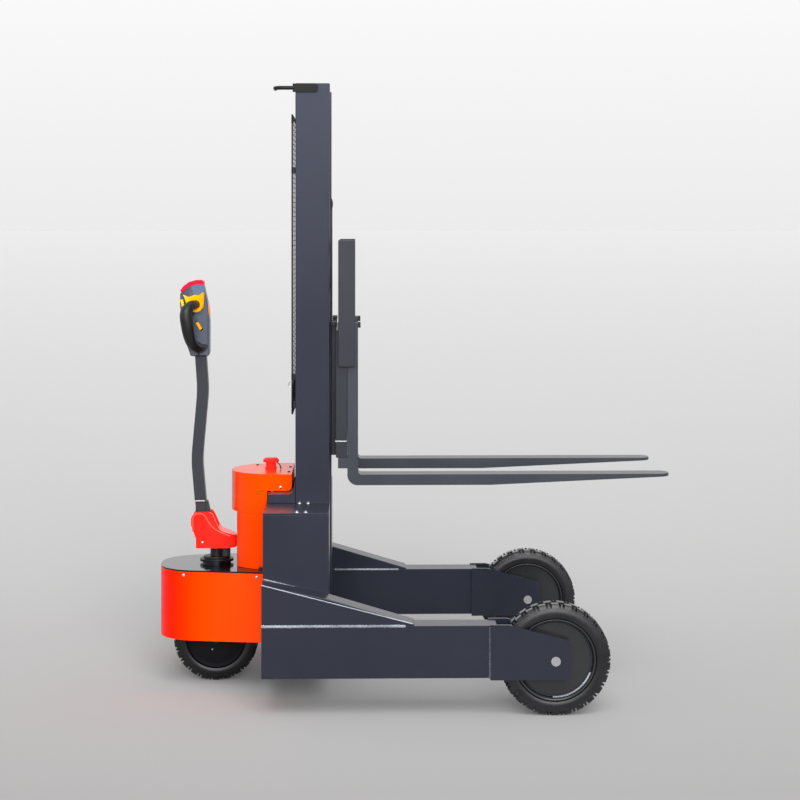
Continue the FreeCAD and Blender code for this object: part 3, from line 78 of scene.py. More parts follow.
# How far the camera sees, beyond the floor's far edge
SIGHT = 1500


def place_camera():
    data = bpy.data.cameras.new("camera")
    data.sensor_width = SENSOR
    data.lens = SENSOR * LENS_PIXELS / PICTURE
    data.shift_y = (HORIZON_ROW - PICTURE / 2) / PICTURE
    data.clip_end = SIGHT
    camera = bpy.data.objects.new("camera", data)
    camera.location = CAMERA_PLACE
    camera.rotation_euler = (math.radians(90), 0, -CAMERA_YAW)
    bpy.context.collection.objects.link(camera)
    bpy.context.scene.camera = camera


place_camera()


# Materials

def srgb(red, green, blue):
    """A colour as it is seen on a screen, 0 to 255, made linear."""
    channels = []
    for value in (red, green, blue):
        value = value / 255
        channels.append(value / 12.92 if value <= 0.04045 else ((value + 0.055) / 1.055) ** 2.4)
    return (*channels, 1)


WHITE = srgb(255, 255, 255)


class Finish:
    """A material under construction, with short calls for the nodes that it needs."""

    def __init__(self, name):
        self.material = bpy.data.materials.new(name)
        self.material.use_nodes = True
        self.tree = self.material.node_tree
        self.shader = self.tree.nodes["Principled BSDF"]
        self.place = self.tree.nodes.new("ShaderNodeTexCoord").outputs["Object"]

    def set(self, **values):
        for key, value in values.items():
            self.shader.inputs[key.replace("_", " ")].default_value = value

    def node(self, kind, **settings):
        made = self.tree.nodes.new("ShaderNode" + kind)
        for key, value in settings.items():
            setattr(made, key, value)
        return made

    def link(self, output, socket):
        self.tree.links.new(output, socket)

    def noise(self, scale, detail=2.0, roughness=0.5, stretch=None):
        texture = self.node("TexNoise")
        texture.inputs["Scale"].default_value = scale
        texture.inputs["Detail"].default_value = detail
        texture.inputs["Roughness"].default_value = roughness
        source = self.place
        if stretch:
            mapping = self.node("Mapping")
            mapping.inputs["Scale"].default_value = stretch
            self.link(source, mapping.inputs["Vector"])
            source = mapping.outputs["Vector"]
        self.link(source, texture.inputs["Vector"])
        return texture.outputs["Fac"]

    def ramp(self, factor, stops):
        """Colours along a factor; stops are (place, colour) pairs."""
        ramp = self.node("ValToRGB")
        band = ramp.color_ramp
        while len(band.elements) < len(stops):
            band.elements.new(0.5)
        for element, (place, colour) in zip(band.elements, stops):
            element.position = place
            element.color = colour
        self.link(factor, ramp.inputs["Fac"])
        return ramp.outputs["Color"]

    def along(self, axis, start, end):
        """A factor that runs from 0 to 1 between two places on an axis."""
        split = self.node("SeparateXYZ")
        self.link(self.place, split.inputs["Vector"])
        stretch = self.node("MapRange")
        stretch.inputs["From Min"].default_value = start
        stretch.inputs["From Max"].default_value = end
        self.link(split.outputs[axis], stretch.inputs["Value"])
        return stretch.outputs["Result"]

    def spread(self, factor, low, high):
        """Maps a 0 to 1 factor to a range."""
        stretch = self.node("MapRange")
        stretch.inputs["To Min"].default_value = low
        stretch.inputs["To Max"].default_value = high
        self.link(factor, stretch.inputs["Value"])
        return stretch.outputs["Result"]

    def colour(self, output):
        self.link(output, self.shader.inputs["Base Color"])

    def roughness(self, output):
        self.link(output, self.shader.inputs["Roughness"])

    def bump(self, height, strength, distance):
        bump = self.node("Bump")
        bump.inputs["Strength"].default_value = strength
        bump.inputs["Distance"].default_value = distance
        self.link(height, bump.inputs["Height"])
        normal = self.shader.inputs["Normal"]
        if normal.links:
            self.link(normal.links[0].from_socket, bump.inputs["Normal"])
        self.link(bump.outputs["Normal"], normal)


def coated(finish, rough, peel, gloss, tint):
    """Gives a coloured finish the gloss and the faint orange peel of a sprayed coat."""
    finish.roughness(finish.spread(finish.noise(28, 4.0), rough - 0.03, rough + 0.05))
    finish.bump(finish.noise(850, 2.0), peel, 0.0004)
    finish.set(Specular_IOR_Level=gloss, Specular_Tint=tint)
    return finish.material


def painted(name, dark, light, rough, peel, gloss=0.5, tint=WHITE):
    """Sprayed or powder-coated paint with a slow drift of colour."""
    finish = Finish(name)
    finish.colour(finish.ramp(finish.noise(3.5, 3.0), [(0.3, dark), (0.7, light)]))
    return coated(finish, rough, peel, gloss, tint)


def grained(finish, rough, grain, tint):
    """Gives a coloured finish the fine spark-eroded grain of a moulding."""
    finish.roughness(finish.spread(finish.noise(60, 2.0), rough - 0.05, rough + 0.05))
    finish.bump(finish.noise(1600, 1.0), grain, 0.0003)
    finish.set(Specular_Tint=tint)
    return finish.material


def moulded(name, dark, light, rough, grain=0.2, tint=WHITE):
    """Injection-moulded plastic."""
    finish = Finish(name)
    finish.colour(finish.ramp(finish.noise(12, 2.0), [(0.35, dark), (0.65, light)]))
    return grained(finish, rough, grain, tint)


def tyre_rubber(name, dark, light):
    """Black rubber with a little dust, and a shine where it is smooth."""
    finish = Finish(name)
    finish.colour(finish.ramp(finish.noise(9, 5.0, 0.6), [(0.35, dark), (0.75, light)]))
    finish.roughness(finish.spread(finish.noise(40, 3.0), 0.2, 0.34))
    finish.bump(finish.noise(420, 3.0), 0.25, 0.0006)
    return finish.material


def bare_metal(name, dark, light, rough, stretch=(1, 1, 1)):
    """Machined or drawn steel with fine tool marks."""
    finish = Finish(name)
    marks = finish.noise(300, 3.0, 0.6, stretch)
    finish.colour(finish.ramp(marks, [(0.3, dark), (0.7, light)]))
    finish.roughness(finish.spread(marks, rough - 0.08, rough + 0.08))
    finish.bump(marks, 0.12, 0.0002)
    finish.set(Metallic=1.0)
    return finish.material


def cover_paint_and_shade():
    """The round drive cover's paint with painted shade: it turns deep red where the cover curves away at the
    back, away from the light.
    """
    finish = Finish("cover_paint_and_shade")
    # The deeper reds towards the back are painted shade; the front stop is the paint's own orange-red.
    stops = [
        (0.0, srgb(255, 4, 0)), (0.14, srgb(255, 30, 0)), (0.42, srgb(255, 60, 1)), (1.0, srgb(255, 72, 18)),
    ]
    back, front = -0.965, -0.560
    finish.colour(finish.ramp(finish.along("X", back, front), stops))
    return coated(finish, rough=0.24, peel=0.02, gloss=0.16, tint=srgb(255, 60, 10))


def amber_moulding():
    """The amber plastic of keys and throttle, yellower towards the driver."""
    finish = Finish("amber_moulding")
    stops = [(0.0, srgb(248, 212, 30)), (0.35, srgb(255, 172, 2)), (1.0, srgb(252, 142, 6))]
    back, front = -0.892, -0.780
    finish.colour(finish.ramp(finish.along("X", back, front), stops))
    return grained(finish, rough=0.3, grain=0.06, tint=srgb(255, 190, 90))


PALE_SHEEN = (0.86, 0.9, 1.0, 1)
BLUE_SHEEN = (0.74, 0.78, 1.0, 1)

SLATE = painted(
    "slate_powder_coat", srgb(22, 24, 32), srgb(27, 29, 38), rough=0.3, peel=0.06, gloss=0.62, tint=BLUE_SHEEN
)
FORK_PAINT = painted(
    "fork_paint", srgb(38, 41, 46), srgb(46, 49, 54), rough=0.32, peel=0.08, gloss=0.62, tint=PALE_SHEEN
)
CARRIAGE_PAINT = painted(
    "carriage_paint", srgb(26, 28, 32), srgb(32, 34, 38), rough=0.32, peel=0.08, gloss=0.6, tint=PALE_SHEEN
)
DISC_PAINT = painted("disc_paint", srgb(30, 31, 33), srgb(37, 38, 40), rough=0.22, peel=0.1)
ORANGE = painted(
    "orange_red_paint", srgb(255, 62, 0), srgb(255, 68, 1), rough=0.24, peel=0.02, tint=srgb(255, 90, 20)
)
COVER_PAINT_AND_SHADE = cover_paint_and_shade()
GLOSS_BLACK = painted(
    "gloss_black_paint", srgb(9, 9, 11), srgb(14, 14, 17), rough=0.1, peel=0.01, tint=BLUE_SHEEN
)
RED = moulded(
    "red_moulding", srgb(255, 34, 26), srgb(255, 42, 32), rough=0.24, grain=0.04, tint=srgb(255, 60, 50)
)
RUBBER = tyre_rubber("tyre_rubber", srgb(14, 14, 17), srgb(30, 30, 34))
# Painted shade: the drive tyre's rubber is darker, for the shade under the drive cover.
DRIVE_TYRE_SHADE_RUBBER = tyre_rubber("drive_tyre_rubber_painted_shade", srgb(3, 3, 5), srgb(9, 9, 11))
PIN = bare_metal("turned_pin_steel", srgb(178, 178, 182), srgb(208, 208, 212), rough=0.4)
CHROME = bare_metal("hard_chrome", srgb(200, 202, 206), srgb(222, 224, 228), rough=0.14, stretch=(1, 1, 0.05))
CHAIN = bare_metal("oiled_chain_steel", srgb(62, 60, 58), srgb(100, 98, 94), rough=0.4)
CASTING = painted("black_casting_paint", srgb(10, 10, 12), srgb(17, 17, 19), rough=0.4, peel=0.25)
ARM = painted("dark_grey_paint", srgb(41, 43, 49), srgb(47, 49, 55), rough=0.36, peel=0.08, gloss=0.3)
HUB_PAINT = painted("hub_paint", srgb(9, 9, 12), srgb(15, 15, 19), rough=0.5, peel=0.1, gloss=0.12)
HOOK_PAINT = painted("hook_paint", srgb(16, 17, 17), srgb(23, 24, 24), rough=0.5, peel=0.2, gloss=0.3)
HEAD = moulded("blue_grey_moulding", srgb(62, 68, 80), srgb(70, 76, 88), rough=0.32)
GRIP = moulded("black_grip_rubber", srgb(5, 5, 6), srgb(10, 10, 11), rough=0.42, grain=0.3)
AMBER = amber_moulding()
# Painted glints: each weld's colour drifts up to a light grey, far brighter than the frame's paint, for where
# its beads catch the light.
DIM_BEAD_PAINT_AND_GLINTS = painted("dull_weld_painted_glints", srgb(26, 28, 36), srgb(104, 110, 122), rough=0.16, peel=0.3, gloss=0.9)
BEAD_PAINT_AND_GLINTS = painted("weld_paint_and_painted_glints", srgb(74, 78, 88), srgb(158, 163, 172), rough=0.12, peel=0.2, gloss=1.0)
# Painted highlight: a light grey for the bright line along the gussets' rounded outer edges.
EDGE_HIGHLIGHT = painted("painted_edge_highlight", srgb(120, 126, 138), srgb(176, 182, 192), rough=0.2, peel=0.1, gloss=0.9)
# Painted highlight: a lighter blue-grey for the light on the tiller head's upper facet.
LIT_FACET_PAINT = painted("painted_facet_highlight", srgb(74, 92, 116), srgb(92, 112, 138), rough=0.1, peel=0.02, gloss=0.6)
BATTERY = moulded("battery_case", srgb(30, 30, 32), srgb(38, 38, 40), rough=0.6)
# Painted highlight: a paler red for the light band along the rims of the tiller cover's dome.
RED_HIGHLIGHT = moulded(
    "red_moulding_painted_highlight", srgb(255, 74, 64), srgb(255, 92, 80), rough=0.2, grain=0.04, tint=srgb(255, 170, 160)
)
CRIMSON = moulded(
    "crimson_button", srgb(228, 16, 50), srgb(242, 24, 60), rough=0.34, grain=0.06, tint=srgb(255, 120, 130)
)
ZINC = bare_metal("zinc_plated_steel", srgb(205, 206, 208), srgb(236, 236, 238), rough=0.3)

SLOT_FINISH = {
    "steel_paint": SLATE,
    "orange_paint": ORANGE,
    "black_gloss": GLOSS_BLACK,
    "red_plastic": RED,
    "tyre": RUBBER,
    "bright_steel": PIN,
    "chrome_rod": CHROME,
    "chain_steel": CHAIN,
    "dark_machine": CASTING,
    "arm_paint": ARM,
    "head_plastic": HEAD,
    "grip_rubber": GRIP,
    "amber_plastic": AMBER,
    "battery_case": BATTERY,
}


def wear(item, material):
    """Gives an object one finish all over."""
    item.data.materials.clear()
    item.data.materials.append(material)


for name, item in NODES.items():
    wear(item, SLOT_FINISH[SLOT_OF[name]])


# Modelling helpers

def pick(item):
    """Makes one object the selected and active one."""
    bpy.ops.object.select_all(action="DESELECT")
    item.select_set(True)
    bpy.context.view_layer.objects.active = item
    return item


def edit(item):
    """Opens one object in edit mode with all of it selected."""
    pick(item)
    bpy.ops.object.mode_set(mode="EDIT")
    bpy.ops.mesh.select_all(action="SELECT")


def leave_edit():
    bpy.ops.object.mode_set(mode="OBJECT")


def tidy_mesh(item, smooth=32):
    """Merges doubles, turns the faces outward and smooths all but the sharp edges."""
    edit(item)
    bpy.ops.mesh.remove_doubles(threshold=0.00001)
    bpy.ops.mesh.normals_make_consistent(inside=False)
    leave_edit()
    bpy.ops.object.shade_smooth_by_angle(angle=math.radians(smooth))
    return item


def apply_modifiers(item):
    pick(item)
    for modifier in list(item.modifiers):
        bpy.ops.object.modifier_apply(modifier=modifier.name)
    return item


def repeated(item, step, count):
    """Repeats an item a number of times, one step apart."""
    array = item.modifiers.new("repeats", "ARRAY")
    array.use_relative_offset = False
    array.use_constant_offset = True
    array.constant_offset_displace = step
    array.count = count
    return apply_modifiers(item)


def break_edges(item, width, segments=2, angle=32):
    """Rounds the edges that are sharper than an angle."""
    bevel = item.modifiers.new("broken_edges", "BEVEL")
    bevel.width = width
    bevel.segments = segments
    bevel.limit_method = "ANGLE"
    bevel.angle_limit = math.radians(angle)
    apply_modifiers(item)
    bpy.ops.object.shade_smooth_by_angle(angle=math.radians(max(angle, 50)))
    flat_faces = item.modifiers.new("flat_faces", "WEIGHTED_NORMAL")
    flat_faces.keep_sharp = True
    flat_faces.weight = 100
    return apply_modifiers(item)


def drawn_line(points):
    """A line of edges, one corner extruded from point to point; it is left open in edit mode."""
    bpy.ops.object.select_all(action="DESELECT")
    bpy.ops.mesh.primitive_plane_add(size=MM)
    item = bpy.context.object
    edit(item)
    bpy.ops.mesh.merge(type="CENTER")
    bpy.ops.transform.translate(value=points[0])
    for start, end in zip(points, points[1:]):
        step = Vector(end) - Vector(start)
        bpy.ops.mesh.extrude_region_move(TRANSFORM_OT_translate={"value": step})
    bpy.ops.mesh.select_all(action="SELECT")
    return item


def turned(profile, centre, axis=(0, 1, 0), steps=96):
    """A round piece turned about an axis; the profile's corners are (radius, place along the axis)."""
    axis = Vector(axis)
    across = Vector((1, 0, 0)) if axis.x == 0 else Vector((0, 0, 1))
    centre = Vector(centre)
    item = drawn_line([centre + across * radius + axis * along for radius, along in profile])
    bpy.ops.mesh.spin(steps=steps, angle=TURN, center=centre, axis=axis)
    leave_edit()
    return tidy_mesh(item)


def plate(outline, thickness, bevel=0.0, segments=2):
    """A plate cut to an outline and given its thickness along a vector."""
    item = drawn_line(outline)
    bpy.ops.mesh.edge_face_add()
    bpy.ops.mesh.extrude_region_move(TRANSFORM_OT_translate={"value": thickness})
    leave_edit()
    tidy_mesh(item)
    if bevel:
        break_edges(item, bevel, segments)
    return item


def upright_plate(outline, y, thickness, bevel=0.0):
    """A plate that stands along the machine: its outline is in (x, z) and its thickness runs along Y."""
    return plate([(x, y, z) for x, z in outline], (0, thickness, 0), bevel)


def block(low, high, bevel=0.0, segments=2):
    """A box between two corners, its edges broken."""
    low, high = Vector(low), Vector(high)
    bpy.ops.object.select_all(action="DESELECT")
    bpy.ops.mesh.primitive_cube_add(size=1)
    item = bpy.context.object
    edit(item)
    bpy.ops.transform.resize(value=high - low)
    bpy.ops.transform.translate(value=(low + high) / 2)
    leave_edit()
    if bevel:
        break_edges(item, bevel, segments)
    return item


def swept(points, width, height, fatness=()):
    """A bar of oval section along a smooth path, its ends closed; fatness scales it from point to point."""
    bpy.ops.object.select_all(action="DESELECT")
    bpy.ops.curve.primitive_bezier_circle_add(radius=0.5)
    section = bpy.context.object
    section.scale = (width, height, 1)
    section.data.resolution_u = 5
    bpy.ops.object.transform_apply(scale=True)
    bpy.ops.curve.primitive_nurbs_path_add()
    path = bpy.context.object
    spline = path.data.splines[0]
    spline.points.add(len(points) - len(spline.points))
    for corner, place in zip(spline.points, points):
        corner.co = (*place, 1)
    for corner, share in zip(spline.points, fatness):
        corner.radius = share
    spline.order_u = 4
    spline.use_endpoint_u = True
    path.data.resolution_u = 6
    path.data.bevel_mode = "OBJECT"
    path.data.bevel_object = section
    path.data.use_fill_caps = True
    pick(path)
    bpy.ops.object.convert(target="MESH")
    bar = bpy.context.object
    bpy.data.objects.remove(section)
    return tidy_mesh(bar, 50)


def joined(items):
    """Several objects made one."""
    pick(items[0])
    for item in items[1:]:
        item.select_set(True)
    if len(items) > 1:
        bpy.ops.object.join()
    return bpy.context.object


def settle(item):
    """Puts an object's place, turn and scale into its mesh."""
    pick(item)
    bpy.ops.object.transform_apply(location=True, rotation=True, scale=True)
    return item


def add_piece(name, item, body, slot, replaces=(), material=None):
    """Names a finished piece, attaches it to its body, hides the nodes it stands for and gives it its own
    finish or its slot's.
    """
    item.name = name
    item.data.name = name
    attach(item, body)
    if replaces:
        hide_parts(*replaces)
    wear(item, material or SLOT_FINISH[slot])
    return item


def copies_at(master, places):
    """Copies of a small part, each at a point and facing a direction, made one piece."""
    copies = []
    for point, facing in places:
        pick(master)
        bpy.ops.object.duplicate()
        copy = bpy.context.object
        copy.rotation_euler = Vector(facing).to_track_quat("Z", "Y").to_euler()
        copy.location = point
        copies.append(copy)
    bpy.data.objects.remove(master)
    return settle(joined(copies))


# Pieces carried over from the frame with their cut edges broken

def softened(node, width):
    """A copy of a sheet-metal node whose cut edges are broken, as on the real plates."""
    item = bpy.data.objects.new(node, NODES[node].data.copy())
    bpy.context.collection.objects.link(item)
    edit(item)
    bpy.ops.mesh.remove_doubles(threshold=0.00002)
    bpy.ops.mesh.dissolve_limited(angle_limit=math.radians(1.0))
    leave_edit()
    break_edges(item, width)
    return add_piece(node + "_edged", item, BODY_OF[node], SLOT_OF[node], [node])


# Node and edge width in millimetres
EDGED = [
    ("mast_channel_left", 3), ("mast_channel_right", 3),
    ("side_box_left", 1.5), ("side_box_right", 1.5),
    ("box_lids", 1.2), ("base_back", 1.5), ("mast_feet", 1.5),
    ("leg_tube_left", 4), ("leg_tube_right", 4),
    ("leg_gusset_left", 2.5), ("leg_gusset_right", 2.5),
    ("fork_left", 2.5), ("fork_right", 2.5),
    ("carriage_frame", 1.5), ("load_backrest", 2.5), ("top_guard_bar", 1.5), ("mast_beams", 1.5),
    ("drive_cover", 1), ("hood_lower", 2), ("hood_upper", 2.5),
    ("tiller_cover", 6), ("tiller_arm", 3), ("tiller_base", 1.5), ("emergency_button", 2),
    ("drive_hub", 1.5), ("drive_yoke", 1.5),
    ("piston_crosshead", 1), ("lift_cylinder", 1), ("power_pack", 3),
]
edged = {name: softened(name, width * MM) for name, width in EDGED}

# Pieces whose paint differs from that of their slot; the drive cover's paint also carries painted shade
OWN_PAINT_AND_SHADE = {
    "drive_cover": COVER_PAINT_AND_SHADE,
    "fork_left": FORK_PAINT,
    "fork_right": FORK_PAINT,
    "carriage_frame": CARRIAGE_PAINT,
    "load_backrest": CARRIAGE_PAINT,
    "drive_hub": HUB_PAINT,
    "top_guard_bar": HOOK_PAINT,
}
for name, paint in OWN_PAINT_AND_SHADE.items():
    wear(edged[name], paint)


# The arm's corners above this level and in front of this line are the upper front ones of its collar
COLLAR_LEVEL = 0.66
COLLAR_FRONT = -0.776
COLLAR_SLANT = (-0.017, 0, 0)


def slant_collar(arm):
    """Sets the upper front corners of the arm's collar back, so that it ends at a slant."""
    edit(arm)
    bpy.ops.mesh.select_all(action="DESELECT")
    leave_edit()
    for corner in arm.data.vertices:
        corner.select = corner.co.z > COLLAR_LEVEL and corner.co.x > COLLAR_FRONT
    bpy.ops.object.mode_set(mode="EDIT")
    bpy.ops.transform.translate(value=COLLAR_SLANT)
    leave_edit()


slant_collar(edged["tiller_arm"])


# Tyres

STRADDLE_AXLE = 0.502
STRADDLE_TRACK = 0.579
STRADDLE_RADIUS = 0.2
STRADDLE_WIDTH = 0.095
STRADDLE_BEAD = 0.1461
STRADDLE_LUGS = 26
DRIVE_AXLE = -0.752
DRIVE_RADIUS = 0.163
DRIVE_WIDTH = 0.1
DRIVE_BEAD = 0.1122
DRIVE_LUGS = 22
LUG_HEIGHT = 0.012
# A row's long blocks start beside the tyre's middle, and the short ones between them lie on its shoulder only.
# Lengths are shares of the pitch; the long start is a distance and the short one a share of half the width.
LONG_LUG, LONG_START = 0.57, 0.004
SHORT_LUG, SHORT_START = 0.17, 0.62


def make_tyre(centre, radius, width, bead, lugs):
    """A solid-sided tyre: a turned carcass and two staggered rows of blocks with notched shoulders."""
    half = width / 2
    floor = radius - LUG_HEIGHT
    # One side of the carcass from the bead outward: (radius, reach from the wheel's middle)
    wall = [
        (bead, half - 0.009), (bead + 0.004, half - 0.0035), (bead + 0.011, half - 0.0008),
        (bead + 0.018, half - 0.0002), (floor - 0.016, half - 0.0010), (floor - 0.008, half - 0.0030),
        (floor - 0.002, half - 0.0058), (floor, half - 0.012),
    ]
    other_wall = [(ring, -reach) for ring, reach in reversed(wall)]
    carcass = turned(wall + other_wall + wall[:1], centre)
    pitch = TURN * radius / lugs
    parts = [carcass]
    for side in (LEFT, RIGHT):
        for share, length, inner in ((0.0, LONG_LUG, LONG_START), (0.5, SHORT_LUG, half * SHORT_START)):
            lug = make_lug(radius, half, pitch * length, inner)
            edit(lug)
            if side == RIGHT:
                bpy.ops.transform.resize(value=(1, -1, 1), center_override=(0, 0, 0))
                bpy.ops.mesh.flip_normals()
            bpy.ops.transform.translate(value=centre)
            stagger = share + (0.5 if side == LEFT else 0.0)
            bpy.ops.transform.rotate(value=TURN * stagger / lugs, orient_axis="Y", center_override=centre)
            bpy.ops.mesh.spin(steps=lugs, dupli=True, angle=TURN, center=centre, axis=(0, 1, 0))
            bpy.ops.mesh.select_all(action="SELECT")
            bpy.ops.mesh.remove_doubles(threshold=0.00001)
            leave_edit()
            parts.append(lug)
    return joined(parts)


def make_lug(radius, half, length, inner):
    """One tread block on the left shoulder at the top of the tyre, its edges chamfered."""
    low = radius - LUG_HEIGHT - 0.003
    top = radius - 0.0006
    # Round the block from its foot by the tyre's middle: (place across the tyre, height)
    outline = [
        (inner, low), (inner, top), (half - 0.0125, top), (half - 0.0065, radius - 0.007),
        (half - 0.0030, low - 0.005), (half - 0.012, low - 0.005),
    ]
    return plate([(-length / 2, across, up) for across, up in outline], (length, 0, 0), 0.0014, 1)


for side, word in SIDES:
    middle = (STRADDLE_AXLE, side * STRADDLE_TRACK, STRADDLE_RADIUS)
    tyre = make_tyre(middle, STRADDLE_RADIUS, STRADDLE_WIDTH, STRADDLE_BEAD, STRADDLE_LUGS)
    add_piece("straddle_tyre_" + word, tyre, "wheel_" + word, "tyre", ["tyre_" + word])
drive = make_tyre((DRIVE_AXLE, 0, DRIVE_RADIUS), DRIVE_RADIUS, DRIVE_WIDTH, DRIVE_BEAD, DRIVE_LUGS)
add_piece("drive_wheel_tyre", drive, "drive_wheel", "tyre", ["drive_tyre"], DRIVE_TYRE_SHADE_RUBBER)


# Weld beads

# Shares of a bead's size: a ripple's length and pitch along the bead, and how uneven the ripples are
BEAD_RIPPLE, BEAD_UNEVEN = 0.62, 0.45
RING_RIPPLE, RING_UNEVEN = 0.7, 0.4


def bead_run(length, size, seed):
    """A straight run of weld ripples along +X from the origin, seen from +Z."""
    bpy.ops.object.select_all(action="DESELECT")
    bpy.ops.mesh.primitive_uv_sphere_add(segments=8, ring_count=6, radius=size)
    item = bpy.context.object
    edit(item)
    bpy.ops.transform.resize(value=(BEAD_RIPPLE, 1.0, BEAD_RIPPLE))
    leave_edit()
    pitch = size * BEAD_RIPPLE
    repeated(item, (pitch, 0, 0), max(2, round(length / pitch)))
    edit(item)
    bpy.ops.transform.vertex_random(offset=size * BEAD_UNEVEN, seed=seed)
    leave_edit()
    bpy.ops.object.shade_smooth()
    return item


def weld(start, end, outward, size, seed):
    """A weld bead from one point to another, its crown facing outward."""
    along = Vector(end) - Vector(start)
    item = bead_run(along.length, size, seed)
    first = along.normalized()
    third = (Vector(outward) - first * first.dot(Vector(outward))).normalized()
    second = third.cross(first)
    item.matrix_world = Matrix.Translation(start) @ Matrix((first, second, third)).transposed().to_4x4()
    return settle(item)


def weld_ring(centre, radius, size, seed, start=0.0, reach=TURN):
    """A weld bead round the inside of a rim, all of it or the part that runs back from an angle off the top."""
    bpy.ops.object.select_all(action="DESELECT")
    bpy.ops.mesh.primitive_uv_sphere_add(segments=8, ring_count=6, radius=size)
    item = bpy.context.object
    edit(item)
    bpy.ops.transform.resize(value=(RING_RIPPLE, RING_RIPPLE, 1.0))
    first = radius * Vector((math.sin(start), 0, math.cos(start)))
    bpy.ops.transform.translate(value=Vector(centre) + first)
    steps = round(reach * radius / (size * RING_RIPPLE))
    bpy.ops.mesh.spin(steps=steps, dupli=True, angle=reach, center=centre, axis=(0, 1, 0))
    bpy.ops.mesh.select_all(action="SELECT")
    bpy.ops.transform.vertex_random(offset=size * RING_UNEVEN, seed=seed)
    leave_edit()
    bpy.ops.object.shade_smooth()
    return item


# Wheel discs: a web set deep in the rim, a rolled lip and a weld ring where the two meet

# Half of the section from the bore outward: (radius, reach from the wheel's middle)
DISC_SECTION = [
    (0.0176, 0.0500), (0.0340, 0.0500), (0.0375, 0.0480), (0.0400, 0.0180), (0.1340, 0.0180),
    (0.1366, 0.0205), (0.1382, 0.0370), (0.1400, 0.0420), (0.1430, 0.0436), (0.1456, 0.0432), (0.1459, 0.0400),
]
SEAM_RADIUS, SEAM_REACH = 0.1338, 0.0205
# A painted glint: a rougher run of weld in a light paint lies beside the seam, in the rim's lower front quarter
# only, where the light catches the weld
RUN_RADIUS, RUN_REACH = 0.1362, 0.0260
RUN_START, RUN_ARC = math.radians(182), math.radians(70)

for side, word in SIDES:
    hub = Vector((STRADDLE_AXLE, side * STRADDLE_TRACK, STRADDLE_RADIUS))
    outward = Vector((0, side, 0))
    wheel = "wheel_" + word
    other_half = [(radius, -reach) for radius, reach in reversed(DISC_SECTION)]
    disc = turned(DISC_SECTION + other_half + DISC_SECTION[:1], hub)
    add_piece("straddle_disc_" + word, disc, wheel, "steel_paint", ["wheel_disc_" + word], DISC_PAINT)
    ring = weld_ring(hub + SEAM_REACH * outward, SEAM_RADIUS, 0.003, 5)
    add_piece("rim_weld_" + word, ring, wheel, "steel_paint")
    run = weld_ring(hub + RUN_REACH * outward, RUN_RADIUS, 0.0046, 8, RUN_START, RUN_ARC)
    add_piece("rim_weld_glint_" + word, run, wheel, "steel_paint", material=BEAD_PAINT_AND_GLINTS)


# Mast guard: welded wire mesh in a narrow frame, on a plain lower plate

GUARD_BACK = -0.4545
GUARD_SHEET = GUARD_BACK + 0.006
GUARD_HALF = 0.246
GUARD_EDGE = GUARD_HALF + 0.004
GUARD_LOW, GUARD_SPLIT, GUARD_HIGH = 1.046, 1.160, 2.174
WIRE = 0.0025
RUNG_PITCH = 0.0185
UPRIGHT_PITCH = 0.164
BAR_WIDTH = 0.010
CLAMP_WIDTH, CLAMP_HEIGHT = 0.022, 0.024
# Clamps that hold the mesh to the mast: height and reach towards the mast
GUARD_CLAMPS = [(1.070, 0.0150), (1.175, 0.0150), (1.952, 0.0150), (2.140, 0.0085)]


def edge_strip(side, width, back, front, low, high, bevel):
    """An upright strip from one edge of the guard inward."""
    edge = side * GUARD_EDGE
    inner = edge - side * width
    return block((back, min(edge, inner), low), (front, max(edge, inner), high), bevel)


def wire(low, high):
    """A thin wire with its edges just broken."""
    return block(low, high, 0.0007, 1)


def make_mesh_guard():
    """Upright wires with level wires welded across their front."""
    upright = wire(
        (GUARD_BACK, -GUARD_HALF, GUARD_SPLIT - 0.004), (GUARD_BACK + WIRE, -GUARD_HALF + WIRE, GUARD_HIGH)
    )
    repeated(upright, (0, UPRIGHT_PITCH, 0), round(2 * GUARD_HALF / UPRIGHT_PITCH) + 1)
    level = wire(
        (GUARD_BACK + WIRE * 0.7, -GUARD_HALF, GUARD_SPLIT),
        (GUARD_BACK + WIRE * 1.7, GUARD_HALF + WIRE, GUARD_SPLIT + WIRE),
    )
    repeated(level, (0, 0, RUNG_PITCH), round((GUARD_HIGH - GUARD_SPLIT) / RUNG_PITCH))
    add_piece("guard_mesh", joined([upright, level]), "chassis", "dark_machine", ["mesh_guard"])


def make_guard_frame():
    """The plate below the mesh, its top bar, its two edge bars and the clamps."""
    pieces = [
        block((GUARD_BACK, -GUARD_EDGE, GUARD_LOW), (GUARD_SHEET, GUARD_EDGE, GUARD_SPLIT), 0.0008),
        block((GUARD_BACK, -GUARD_EDGE, GUARD_HIGH - 0.012), (GUARD_SHEET, GUARD_EDGE, GUARD_HIGH), 0.0008),
    ]
    for side in (LEFT, RIGHT):
        back, front = GUARD_BACK, GUARD_BACK + 0.005
        pieces.append(edge_strip(side, BAR_WIDTH, back, front, GUARD_LOW, GUARD_HIGH, 0.0008))
        for level, reach in GUARD_CLAMPS:
            back, front = GUARD_BACK - 0.0004, GUARD_BACK + reach
            pieces.append(edge_strip(side, CLAMP_WIDTH, back, front, level, level + CLAMP_HEIGHT, 0.0012))
    add_piece("guard_frame", joined(pieces), "chassis", "dark_machine")


make_mesh_guard()
make_guard_frame()


# Screws and bolts

def pan_head(radius, height):
    """A domed screw head, facing +Z from the origin."""
    return turned(
        [(0, height), (radius * 0.45, height * 0.94), (radius * 0.8, height * 0.66), (radius, height * 0.2),
         (radius, -0.001), (0, -0.001)],
        (0, 0, 0), (0, 0, 1), 20,
    )


# A hexagon's width over its flats, for a radius of 1 to its corners
OVER_FLATS = 1.732


